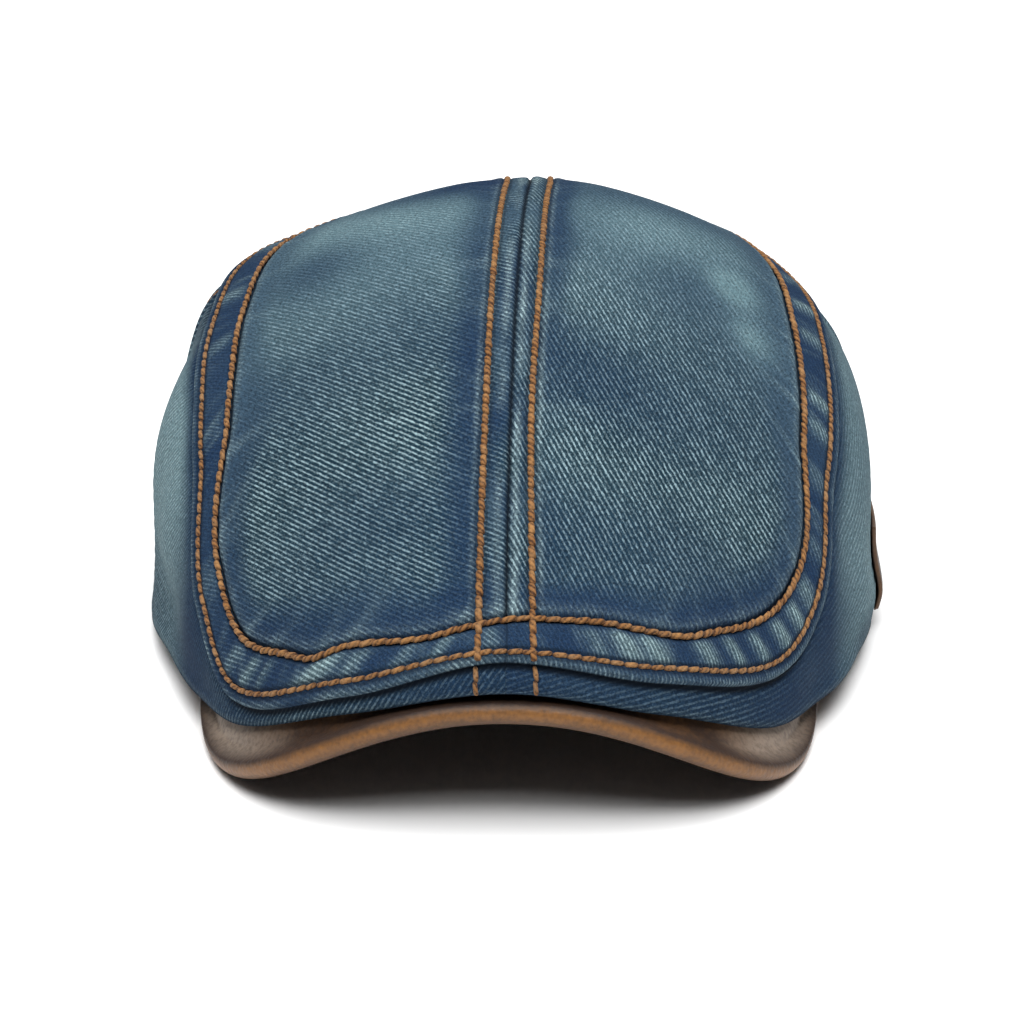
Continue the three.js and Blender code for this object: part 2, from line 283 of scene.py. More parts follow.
def read_rows(at, table, values):
    """Linear interpolation row by row: row i of the result reads row i of the values at the
    places given in row i, along the rising numbers in row i of the table."""
    rows, steps = table.shape
    shift = np.arange(rows)[:, None] * (table.max() + 1000.0)
    found = np.searchsorted((table + shift).ravel(), (at + shift).ravel(), side="right")
    i = np.clip(found.reshape(at.shape) - np.arange(rows)[:, None] * steps, 1, steps - 1)
    low = np.take_along_axis(table, i - 1, 1)
    high = np.take_along_axis(table, i, 1)
    part = (at - low) / np.maximum(high - low, 1e-9)
    return [
        np.take_along_axis(v, i - 1, 1) * (1 - part) + np.take_along_axis(v, i, 1) * part
        for v in values
    ]


class Sections:
    """Upright sections of the crown, one for each azimuth. A section is a cubic curve from the
    top to its reach and a quadratic one from there to the hem, with the way along it."""

    def __init__(self, azimuth):
        self.azimuth = np.asarray(azimuth, float)
        size = {name: crown_size(name, self.azimuth)[:, None] for name in CROWN_COLUMNS[1:]}
        turn = np.radians(self.azimuth)[:, None]
        t = np.linspace(0, 1, SECTION_STEPS + 1)[None, :]
        fall = TILT * np.cos(turn)
        bend = BEND_ALONG * np.cos(turn) ** 2 + BEND_ACROSS * np.sin(turn) ** 2
        reach, reach_z = size["reach"], size["reachZ"]
        hem_z = np.maximum(size["hemZ"], 0)
        side_z = reach_z + size["side"] * (TOP_Z - reach_z)
        level = np.sqrt(2 * (TOP_Z - side_z - fall * reach) / (3 * bend))
        top_out = 3 * (1 - t) ** 2 * t * level + 3 * (1 - t) * t**2 * reach + t**3 * reach
        top_z = (
            (1 - t) ** 3 * TOP_Z
            + 3 * (1 - t) ** 2 * t * (TOP_Z - fall * level)
            + 3 * (1 - t) * t**2 * side_z
            + t**3 * reach_z
        )
        wall_out = (1 - t**2) * reach + t**2 * size["hem"]
        wall_z = (1 - t) ** 2 * reach_z + (1 - t) * t * (reach_z + hem_z) + t**2 * hem_z
        self.out = np.concatenate([top_out, wall_out[:, 1:]], 1)
        self.z = np.concatenate([top_z, wall_z[:, 1:]], 1)
        steps = np.hypot(np.diff(self.out, axis=1), np.diff(self.z, axis=1))
        self.way = np.concatenate([np.zeros((len(steps), 1)), np.cumsum(steps, 1)], 1)
        self.hem = self.way[:, -1]
        edge_z = size["edgeZ"] - np.sign(self.azimuth)[:, None] * size["lean"]
        self.edge = read_rows(-edge_z, -self.z, [self.way])[0][:, 0]
        self.seam = self.edge - size["band"][:, 0]
        for middle, half, depth in SEAM_WANDER:
            self.seam = self.seam + depth * hump(self.azimuth, middle, half)

    def point(self, way):
        """Points at a way along each section: out from the centre line, moved by the folds, and
        slid sideways with the soft top."""
        out, z = read_rows(way, self.way, [self.out, self.z])
        azimuth = self.azimuth[:, None]
        out = out + fold_depth(azimuth, z) * np.minimum(1, out / HALF_WIDTH)
        x = out * np.sin(np.radians(azimuth))
        y = CENTRE_Y - out * np.cos(np.radians(azimuth))
        return np.stack([x + slide(x, y, z), y, z], -1)


class Crown:
    """The crown's outer face at the azimuths given: its points, normals and seams."""

    def __init__(self, azimuth):
        self.azimuth = np.asarray(azimuth, float)
        self.here = Sections(self.azimuth)
        self.before = Sections(self.azimuth - SLOPE_STEP)
        self.after = Sections(self.azimuth + SLOPE_STEP)
        self.hem, self.edge, self.seam = self.here.hem, self.here.edge, self.here.seam
        # How squarely a section crosses the band: the sine of the angle between them
        edge = self.edge[:, None]
        ahead = self.after.point(self.after.edge[:, None])
        behind = self.before.point(self.before.edge[:, None])
        down = self.here.point(edge + SLOPE_STEP) - self.here.point(edge - SLOPE_STEP)
        crossed = np.cross(unit((ahead - behind)[:, 0]), unit(down[:, 0]))
        self.square = np.linalg.norm(crossed, axis=-1)
        # Length along the folded edge from the front, positive to the wearer's left
        run = np.linspace(-180, 180, 721)
        line = Sections(run)
        corners = line.point(line.edge[:, None])[:, 0]
        length = np.concatenate([[0], np.cumsum(np.linalg.norm(np.diff(corners, axis=0), axis=1))])
        self.run = np.interp(self.azimuth, run, length) - np.interp(0, run, length)

    def face(self, way):
        """Points and outward normals at ways of the shape (azimuths, ways). The normal is the
        cross product of the slopes down the section and round it at the same share of way."""
        way = np.broadcast_to(way, (len(self.azimuth), np.shape(way)[1]))
        point = self.here.point(way)
        share = way / self.hem[:, None]
        sideways = self.after.point(share * self.after.hem[:, None]) - self.before.point(
            share * self.before.hem[:, None]
        )
        low = np.minimum(way + SLOPE_STEP, self.hem[:, None])
        down = self.here.point(low) - self.here.point(np.maximum(way - SLOPE_STEP, 0))
        normal = unit(np.cross(down, sideways))
        top = unit(np.array([0.0, -TILT, 1.0]))
        return point, np.where((way < SLOPE_STEP)[..., None], top, normal)


def puckers(run, off, seed, spacing, width, amount, reach, slant=0.0):
    """Ridges that a row of stitches draws up across itself. Each is a bell along the row, whose
    middle leans with the distance off it, and dies away over its reach."""
    draw = np.random.default_rng(seed)
    count = int(2 * PUCKER_RUN / spacing)
    middle = (np.arange(count) + draw.uniform(0.1, 0.9, count)) * spacing - PUCKER_RUN
    half = width * draw.uniform(0.6, 1.5, count)
    height = amount * draw.uniform(-0.5, 1.0, count)
    length = reach * draw.uniform(0.5, 1.6, count)
    lean = slant + draw.uniform(-0.5, 0.5, count)
    total = np.zeros(np.broadcast_shapes(np.shape(run), np.shape(off)))
    for m, h, a, r, k in zip(middle, half, height, length, lean):
        total = total + a * hump(run - k * off, m, h) * np.exp(-np.abs(off) / r)
    return total * (1 - np.exp(-((off / 1.2) ** 2)))


def clouds(x, y, seed, size):
    """Soft blotches between -1 and 1: a sum of waves in seeded directions and phases."""
    draw = np.random.default_rng(seed)
    total = 0.0
    for turn, phase, scale in zip(
        draw.uniform(0, np.pi, 7), draw.uniform(0, 2 * np.pi, 7), draw.uniform(0.6, 1.8, 7)
    ):
        total = total + np.sin((x * np.cos(turn) + y * np.sin(turn)) / (size * scale) + phase)
    return total / 3.2


def lay_of_top(points):
    """Where the top's points lie in its cloth: sideways by x, and forwards by the way down the
    middle profile. The soft crown shears the weave, so that the lines stay straight seen from the
    front: each point's drop below the profile is added to its way."""
    profile = Sections(np.array([0.0, 180.0]))
    half = SECTION_STEPS + 1
    y = np.concatenate([CENTRE_Y - profile.out[0, :half][::-1], CENTRE_Y + profile.out[1, 1:half]])
    z = np.concatenate([profile.z[0, :half][::-1], profile.z[1, 1:half]])
    rise = np.gradient(z, y)
    facing = (rise * np.cos(LAY_RISE) + np.sin(LAY_RISE)) / np.hypot(1, rise)
    pace = np.maximum(facing, LAY_LEAST) * np.hypot(1, rise)
    forward = -np.concatenate([[0], np.cumsum((pace[1:] + pace[:-1]) / 2 * np.diff(y))])
    x_at, y_at, z_at = (points[..., i] for i in range(3))
    drop = np.interp(y_at, y, z) - z_at
    return x_at, np.interp(y_at, y, forward) + np.cos(LAY_RISE) * drop


def turned(x, y, degrees):
    """Coordinates along and across twill lines that lie at an angle in the cloth."""
    turn = np.radians(degrees)
    return np.stack([x * np.cos(turn) + y * np.sin(turn), y * np.cos(turn) - x * np.sin(turn)], -1)


def strip_between(first, second):
    """Triangles between two chains of vertices, walking along both at the same pace."""
    steps = np.concatenate([np.linspace(0, 1, len(first))[1:], np.linspace(0, 1, len(second))[1:]])
    of_first = np.arange(len(steps)) < len(first) - 1
    moves = of_first[np.argsort(steps, kind="stable")]
    i = np.concatenate([[0], np.cumsum(moves)])
    j = np.concatenate([[0], np.cumsum(~moves)])
    third = np.where(moves, first[i[1:]], second[j[1:]])
    return np.stack([first[i[:-1]], second[j[:-1]], third], 1)


def skin_triangles(rings, count, spans):
    """Triangles of the skin over so many spans between rings of points in the same order."""
    r, k = np.meshgrid(np.arange(spans), np.arange(count), indexing="ij")
    next_r, next_k = (r + 1) % rings, (k + 1) % count
    a, b = r * count + k, next_r * count + k
    c, d = next_r * count + next_k, r * count + next_k
    return np.concatenate([np.stack(corners, -1).reshape(-1, 3) for corners in ((a, b, c), (a, c, d))])


def ring_triangles(rings, count, comes_round, front):
    """Triangles of a closed skin through rings of points. Where the rings don't come round, each
    end is closed between the ring's first points, its front, and the rest."""
    if comes_round:
        return skin_triangles(rings, count, rings)
    cap = strip_between(np.arange(front), np.arange(count - 1, front - 2, -1))
    skin = skin_triangles(rings, count, rings - 1)
    return np.concatenate([skin, cap[:, ::-1], cap + (rings - 1) * count])


def volume_of(points, triangles):
    """Six times the volume inside closed triangles, positive when they face outwards."""
    a, b, c = (points[triangles[:, i]] for i in range(3))
    return float(np.einsum("ij,ij->i", a, np.cross(b, c)).sum())


def make_mesh(name, points, triangles, materials, uv=None, marks=None, inside=None):
    """A mesh object at the origin from points in millimetres and triangles. Equal points that a
    pole repeats are merged, and emptied triangles dropped. uv has one pair for each point or for
    each corner. Marks are float attributes, and inside says which triangles take material 1."""
    points = np.asarray(points, float).reshape(-1, 3)
    rounded = np.round(points, 4)
    _, first, back = np.unique(rounded, axis=0, return_index=True, return_inverse=True)
    merged = back.reshape(-1)[triangles]
    whole = (
        (merged[:, 0] != merged[:, 1]) & (merged[:, 1] != merged[:, 2]) & (merged[:, 2] != merged[:, 0])
    )
    merged, kept = merged[whole], triangles[whole]
    if volume_of(points[first], merged) < 0:
        merged, kept = merged[:, ::-1], kept[:, ::-1]
        if uv is not None and uv.ndim == 3:
            uv = uv[:, ::-1]
    mesh = bpy.data.meshes.new(name)
    mesh.vertices.add(len(first))
    mesh.vertices.foreach_set("co", (points[first] * MILLIMETRE).astype(np.float32).ravel())
    mesh.loops.add(merged.size)
    mesh.loops.foreach_set("vertex_index", merged.astype(np.int32).ravel())
    mesh.polygons.add(len(merged))
    mesh.polygons.foreach_set("loop_start", np.arange(0, merged.size, 3, dtype=np.int32))
    mesh.polygons.foreach_set("use_smooth", np.ones(len(merged), bool))
    if inside is not None:
        mesh.polygons.foreach_set("material_index", inside[whole].astype(np.int32))
    if uv is not None:
        corners = uv[whole] if uv.ndim == 3 else uv[kept]
        layer = mesh.uv_layers.new(name="weave")
        layer.uv.foreach_set("vector", corners.astype(np.float32).ravel())
    for key, values in (marks or {}).items():
        attribute = mesh.attributes.new(key, "FLOAT", "POINT")
        attribute.data.foreach_set("value", np.ravel(values)[first].astype(np.float32))
    mesh.update(calc_edges=True)
    mesh.validate()
    for material in materials:
        mesh.materials.append(material)
    piece = bpy.data.objects.new(name, mesh)
    bpy.context.scene.collection.objects.link(piece)
    return piece


def dress(piece, slot, *nodes):
    """Puts a finished piece on the body, in the place of the CAD nodes that it stands for."""
    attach(piece, "root")
    if nodes:
        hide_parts(*nodes)


def math_method(operation, reflected=False):
    """An operator of wires, which adds a Math node."""

    def apply(self, other):
        return self.finish.math(operation, *((other, self) if reflected else (self, other)))

    return apply


class Wire:
    """A socket of a node tree that takes part in sums: each operator adds its Math node."""

    __add__, __radd__ = math_method("ADD"), math_method("ADD", True)
    __sub__, __rsub__ = math_method("SUBTRACT"), math_method("SUBTRACT", True)
    __mul__, __rmul__ = math_method("MULTIPLY"), math_method("MULTIPLY", True)
    __truediv__, __rtruediv__ = math_method("DIVIDE"), math_method("DIVIDE", True)

    def __init__(self, finish, socket):
        self.finish, self.socket = finish, socket


class Finish:
    """A material and the tools that fill its node tree."""

    def __init__(self, name, **fixed):
        self.material = bpy.data.materials.new(name)
        self.material.use_nodes = True
        self.tree = self.material.node_tree
        self.tree.nodes.clear()
        self.shader = self.tree.nodes.new("ShaderNodeBsdfPrincipled")
        output = self.tree.nodes.new("ShaderNodeOutputMaterial")
        self.tree.links.new(self.shader.outputs[0], output.inputs[0])
        for socket, value in fixed.items():
            self.shader.inputs[socket.replace("_", " ")].default_value = value

    def node(self, kind, settings=None, inputs=None, out=0):
        """Adds a node of a type, with its settings set first and then its sockets' values or
        links, and returns one of its outputs."""
        made = self.tree.nodes.new("ShaderNode" + kind)
        for key, value in (settings or {}).items():
            setattr(made, key, value)
        for key, value in (inputs or {}).items():
            if isinstance(value, Wire):
                self.tree.links.new(value.socket, made.inputs[key])
            else:
                made.inputs[key].default_value = value
        return Wire(self, made.outputs[out])

    def math(self, operation, *values, clamp=False):
        settings = {"operation": operation, "use_clamp": clamp}
        return self.node("Math", settings, dict(enumerate(values)))

    def place(self):
        """The object's own coordinates."""
        return self.node("TexCoord", out="Object")

    def weave(self):
        """The uv map, its first axis and its second."""
        uv = self.node("UVMap", {"uv_map": "weave"})
        return uv, *(self.node("SeparateXYZ", None, {0: uv}, out=axis) for axis in (0, 1))

    def mark(self, name):
        """A float attribute of the mesh."""
        return self.node("Attribute", {"attribute_name": name}, out="Fac")

    def mix(self, factor, first, second, blend="MIX"):
        """A colour between two colours, by a factor kept between 0 and 1."""
        first, second = (c if isinstance(c, Wire) else (*c, 1.0) for c in (first, second))
        settings = {"data_type": "RGBA", "blend_type": blend, "clamp_factor": True}
        return self.node("Mix", settings, {0: factor, 6: first, 7: second}, out=2)

    def ease(self, value, low, high):
        """0 below low, 1 above high, smooth between them."""
        settings = {"interpolation_type": "SMOOTHSTEP", "clamp": True}
        return self.node("MapRange", settings, {0: value, 1: low, 2: high, 3: 0.0, 4: 1.0})

    def ramp(self, value):
        """0 at each whole number, and straight up to 1 halfway between two."""
        return 1 - self.math("ABSOLUTE", self.math("FRACT", value) * 2 - 1)

    def noise(self, vector, scale, detail, roughness=0.5):
        inputs = {"Vector": vector, "Scale": scale, "Detail": detail, "Roughness": roughness}
        return self.node("TexNoise", None, inputs)

    def feed(self, **sockets):
        """Links wires to the shader's sockets."""
        for name, wire in sockets.items():
            self.tree.links.new(wire.socket, self.shader.inputs[name.replace("_", " ")])

    def bump(self, strength, distance, height):
        inputs = {"Strength": strength, "Distance": distance, "Height": height}
        self.feed(Normal=self.node("Bump", None, inputs))


def denim_finish(name, cloth, dye_and_inside_shade):
    """Twill denim. Pale threads of weft cross the cloth in lines along the uv map's first axis,
    broken into dashes and roughened by fibres. The fade mark is a pale wash over the whole cloth,
    bite is how strongly the lines show, worn bares the white core, and shade is painted shade in
    the seams, grooves and under the fold. The ground colour is the navy dye on the right side, and
    a dark colour painted as shade on the inside faces."""
    f = Finish(name, Specular_IOR_Level=0.12)
    uv, along, across = f.weave()
    wander = f.noise(uv, 0.03, 1.0) * 0.9 + f.noise(uv, 0.6, 2.0, 0.7) * 0.5
    lane = across / (cloth.twill_pitch / MILLIMETRE) + wander
    number = f.math("FLOOR", lane)
    jitter = number * 0.37 + f.noise(uv, 0.6, 1.0) * 1.5
    beat = along / (cloth.dash_length / MILLIMETRE) + jitter
    cell = f.node("CombineXYZ", None, {0: number, 1: f.math("FLOOR", beat)})
    chance = f.node("TexWhiteNoise", {"noise_dimensions": "2D"}, {"Vector": cell})
    drawn_out = f.node("CombineXYZ", None, {0: along * 0.8, 1: across * 2.6})
    fibre = f.ease(f.noise(drawn_out, 1.0, 3.0, 0.7), 0.35, 0.6)
    speck = f.noise(uv, 2.0, 2.0, 0.75)
    patchy = f.noise(uv, 0.22, 2.0)
    strength = (chance * 1.2 + 0.35) * (fibre * 0.9 + 0.25) * (patchy * 1.6 + 0.35)
    dashes = f.ease(f.ramp(lane), 0.45, 0.85) * (f.ease(f.ramp(beat), 0.0, 0.5) * 0.6 + 0.4)
    thread = f.math("MULTIPLY", dashes, strength, clamp=True)
    blotch = f.noise(f.place(), 42.0, 4.0, 0.6)
    fade = f.math("ADD", f.mark("fade"), (blotch - 0.5) * 0.22, clamp=True)
    bite = f.mark("bite")
    rubbed = f.ease(speck, 0.3, 0.62) * 0.8 + 0.2
    worn = f.math("MULTIPLY", f.mark("worn"), rubbed, clamp=True)
    ground = f.mix(fade, f.mix(bite * 1.2, dye_and_inside_shade, cloth.ink), cloth.faded)
    lines = f.mix(f.math("MAXIMUM", fade, bite), cloth.blue_line, cloth.pale)
    dark = f.mix(f.ease(speck, 0.52, 0.34) * 0.6, ground, cloth.seam_dark)
    peppered = f.mix(f.ease(speck, 0.54, 0.7) * (bite * 0.3 + 0.14), dark, lines)
    woven = f.mix(f.math("MULTIPLY", thread, bite * 1.3, clamp=True), peppered, lines)
    bared = f.mix(worn * (thread * 0.9 + 0.3), woven, cloth.bare)
    grit = f.ease(f.noise(uv, 1.25, 3.0, 0.75), 0.3, 0.7) * 0.6 + 0.68
    gritty = f.mix(1.0, bared, f.node("CombineColor", None, dict.fromkeys(range(3), grit)), "MULTIPLY")
    f.feed(Base_Color=f.mix(f.mark("shade"), gritty, cloth.seam_dark), Roughness=0.95 - thread * 0.1)
    f.bump(0.6, cloth.weave_relief, thread * 0.8 + speck * 0.5)
    return f.material


def leather_finish(name, leather):
    """Satin leather: pebbled grain over soft creases and rubbed specks. The burnish mark is partly
    the leather's rubbed two-tone and partly painted light: it runs from the dark of the flat faces
    and the underside, which is painted shade, over brown, to the copper of the rolled rim, which is
    also a painted highlight on the roll's crest."""
    f = Finish(name, Specular_IOR_Level=0.28)
    place = f.place()
    cells = {"Vector": place, "Scale": 900.0, "Smoothness": 0.7}
    pebble = f.node("TexVoronoi", {"feature": "SMOOTH_F1"}, cells)
    grain = f.noise(place, 850.0, 3.0, 0.6)
    streak = f.noise(place, 240.0, 4.0, 0.65)
    blotch = f.noise(place, 45.0, 3.0, 0.55)
    mottle = (blotch - 0.5) * 0.3 + (grain - 0.5) * 0.7 + (streak - 0.5) * 0.4
    tone = f.mark("burnish_and_painted_light") + mottle
    body = f.mix(f.ease(tone, 0.0, 0.6), leather.shaded, leather.brown)
    shine = f.mix(f.ease(tone, 0.55, 1.15), body, leather.copper)
    dust = f.mark("rubbed") * (f.ease(grain + streak * 0.5, 0.5, 0.9) * 0.5 + 0.5)
    roughness = 0.56 - f.ease(tone, 0.2, 1.1) * 0.14 + (grain - 0.5) * 0.2
    f.feed(Base_Color=f.mix(dust, shine, leather.rubbed), Roughness=roughness)
    f.bump(0.55, leather.grain_relief, pebble * -0.6 + grain * 0.5 + streak * 0.6)
    return f.material


def thread_finish(name, thread):
    """Twisted cord. Strands cross the stitch at a slant in its uv map, whose first axis runs
    along the stitch in millimetres and second goes once round it."""
    f = Finish(name, Sheen_Weight=0.05, Sheen_Roughness=0.5, Specular_IOR_Level=0.25)
    _, along, around = f.weave()
    place = f.place()
    fuzz = f.noise(place, 1900.0, 3.0, 0.6)
    tone = f.noise(place, 260.0, 3.0, 0.6)
    twist = (along * 0.55 + around * 2.0 + fuzz * 0.25) * (2 * np.pi)
    strand = f.math("SINE", twist) * 0.5 + 0.5
    body = f.mix(f.ease(strand * 0.6 + fuzz * 0.7, 0.25, 0.85), thread.shadow, thread.copper)
    lit = f.mix(f.ease(tone + fuzz * 0.4, 0.6, 0.95) * 0.75, body, thread.bright)
    dulled = f.mix(f.mark("worn") * f.ease(fuzz + tone * 0.5, 0.55, 0.95), lit, thread.dull)
    f.feed(Base_Color=f.mix(f.mark("shade"), dulled, thread.shadow), Roughness=0.85 - strand * 0.1)
    f.bump(0.55, thread.strand_relief, strand + fuzz * 0.7)
    return f.material


def row_offset(side, y):
    """How far a centre row lies off the centre seam: evenly on the wearer's right, and pinched a
    little on the left, above the forehead."""
    pinch = hump(y, -62, 46) + 0.6 * smoothstep(-40, 40, y)
    return ROW_OFF - ROW_PINCH * np.clip(pinch, 0, 1) * (0.6 + 0.4 * side)


def top_relief(crown, way, point):
    """How far the top's outer face stands off the plain surface, with its marks. It dives into
    the centre seam and the band's seam, stands up in ridges beside them, dips under the rows of
    stitches, and is puckered across the rows."""
    side_run = crown.run[:, None]
    to_band = np.maximum(crown.seam[:, None] - way, 0) * crown.square[:, None]
    x, y = point[..., 0], point[..., 1]
    off = np.abs(x - slide(0, y, point[..., 2]))
    side = np.sign(crown.azimuth[:, None] + 1e-9)
    left = (1 + side) / 2
    past = off - row_offset(side, y)
    outside = smoothstep(0, 1.2, past)
    centre = (
        -0.7 * hump(off, 0, 0.5)
        + (0.12 + 0.26 * left) * hump(off, 1.9, 1.3)
        - 0.5 * hump(past, 0, 1.0)
        + 0.24 * hump(past, 2.2, 1.4) * outside
    )
    drawn = puckers(y, np.maximum(past, 0), 11, 6.5, 1.5, 0.3, 4.0, 0.5) * outside
    inner = puckers(y, np.maximum(-past, 0), 12, 4.2, 1.0, 0.22, 2.5) * smoothstep(0, 1, -past)
    rim = -0.95 * hump(to_band, 0, 1.2) + 0.42 * hump(to_band, 3.2, 1.8)
    gathers = puckers(side_run, to_band, 21, 7.0, 1.8, 0.42, 5.5, 0.3)
    away = smoothstep(4, 16, to_band) * smoothstep(2, 14, past)
    rolling = clouds(x, y, 5, 16) * 0.4 * away
    height = centre + drawn + inner + rim + gathers + rolling
    ridges = np.clip(drawn + gathers + inner, -0.2, 1)
    back = smoothstep(-100, 0, y)
    beside = 1 - smoothstep(4, 13.5 - 3 * left + 2 * clouds(y, off, 31, 9), past)
    beside = beside * outside * (0.88 + 0.2 * clouds(x, y, 39, 10))
    beside = beside * (1 - 0.85 * left * smoothstep(-5, -45, y))
    by_band = 1 - smoothstep(4, 16 + 4 * clouds(side_run, to_band, 32, 12), to_band)
    navy = np.clip(beside + by_band, 0, 1)
    high_up = smoothstep(-40, 20, y)
    mottled = clouds(x, y, 33, 13) + 0.6 * high_up * clouds(x, y, 38, 6)
    high = smoothstep(-60, 40, y)
    spots = left * (1.1 * hump(x, 57, 6) * hump(y, 10, 8) + 0.8 * hump(x, 61, 5) * hump(y, -8, 7))
    washed = ((0.62 - 0.26 * left) * high + 0.02) * (1 + 0.45 * mottled)
    fade = 0.01 + (1 - 0.88 * navy) * washed + spots * 0.9
    fade = fade + 0.25 * by_band * back + ridges * 0.25
    bite = (0.1 + (0.76 - 0.1 * left) * (1 - 0.88 * navy)) * (1 - 0.55 * high) * (1 + 0.3 * mottled)
    bite = bite * (1 - (0.25 + 0.15 * left) * smoothstep(-65, -100, y))
    bite = bite * (1 - 0.6 * np.clip(spots, 0, 1)) + np.clip(ridges, 0, 1) * 0.4
    between = smoothstep(0.5, 1.2, -past)
    fade = fade * (1 - between) + between * (0.02 + 0.14 * high + 0.14 * clouds(y, off * 3, 34, 5))
    bite = bite * (1 - between) + between * (0.36 + 0.14 * left + 0.3 * clouds(y, off * 2, 35, 6))
    beat = 0.55 + 0.45 * np.clip(clouds(y, off * 2, 36, 4), -1, 1)
    worn = (
        left * 1.05 * hump(off, 1.8, 0.9) * beat
        + (1 - left) * 0.6 * hump(off, 2.2, 1.0) * np.clip(0.4 + clouds(y, off, 37, 5), 0, 1)
        + (0.5 + 0.25 * left) * hump(past, 1.9, 0.6) * beat * (1 - 0.5 * high)
        + 0.28 * hump(to_band, 2.6, 1.0)
        + np.clip(ridges, 0, 1) * 1.2
    )
    shade = (
        0.9 * hump(off, 0, 0.5)
        + 0.55 * hump(np.abs(past), 1.15, 0.5)
        + 0.65 * hump(to_band, 0.5, 0.8)
    )
    return height, marks_of(way.shape, fade, bite, worn, shade)


def outer_row(crown):
    """The outer row's distance from the band's seam, measured squarely. It lies evenly inside the
    fold, and a little nearer to it at the front."""
    width = (crown.edge - crown.seam) * crown.square
    return width - OUTER_ROW_IN + OUTER_ROW_NEARER * hump(crown.azimuth, 0, 9)


def band_relief(crown, across):
    """The same for the band, where across is the width measured squarely from its seam: a swell
    between the rows of stitches, a dip under the outer one, a rounded fold, and the table of
    puckers, whose ridges slant from row to row."""
    azimuth = crown.azimuth[:, None]
    run = crown.run[:, None]
    width = ((crown.edge - crown.seam) * crown.square)[:, None]
    row = outer_row(crown)[:, None]
    share = np.clip(across / row, 0, 1)
    swell = np.sin(np.pi * share)
    base = FOLD_RISE * smoothstep(0, 1, across / (width - LAP) * 0.9)
    height = (
        base
        + 0.35 * swell
        - 0.75 * hump(across, 0, 1.1)
        - 0.5 * hump(across, row, 1.0)
        + 0.25 * hump(across, width - 1.6, 1.2)
        - 1.0 * smoothstep(width - 0.9, width, across) ** 2
        - 0.12 * hump(azimuth, 0, 0.25)
    )
    ridges, rubbed = 0.0, 0.0
    ebb = 1 - smoothstep(0.75, 1, share)
    for at, half, amount, wear, slant in PUCKERS:
        away = (azimuth - at + 180) % 360 - 180
        ridge = hump(away - slant * (share - 0.5) * 2.2, 0, half)
        ridges = ridges + amount * ridge
        rubbed = rubbed + wear * ridge * smoothstep(0.08, 0.35, share) * ebb
    ridges = ridges * swell**0.8
    small = puckers(run, across, 41, 6.0, 1.3, 0.3, 12.0, 0.3) * swell
    tight = puckers(run, np.abs(across - row), 42, 4.5, 1.1, 0.28, 2.4)
    height = height + ridges - 0.25 * swell + small + tight
    small = np.clip(small + tight, 0, 1)
    edge = smoothstep(width - 2.6, width - 0.5, across)
    beat = 0.6 + 0.4 * clouds(run, across * 2, 44, 3)
    outer = smoothstep(38, 75, np.abs(azimuth))
    fade = 0.01 + 0.18 * rubbed + small * 0.25 + 0.04 * clouds(run, across, 43, 14) + edge * 0.05
    bite = 0.09 - 0.03 * outer + 0.85 * rubbed + small * 0.5 + 0.25 * edge * beat
    worn = 0.6 * rubbed + small * 0.8 + edge * beat * 0.5
    shade = (
        0.6 * hump(across, 0.3, 0.8)
        + 0.55 * hump(np.abs(across - row), 1.05, 0.45)
        + 0.9 * smoothstep(width - 0.2, width, across)
        + 0.25 * hump(azimuth, 0, 0.25)
    )
    return height, marks_of(across.shape, fade, bite, worn, shade)


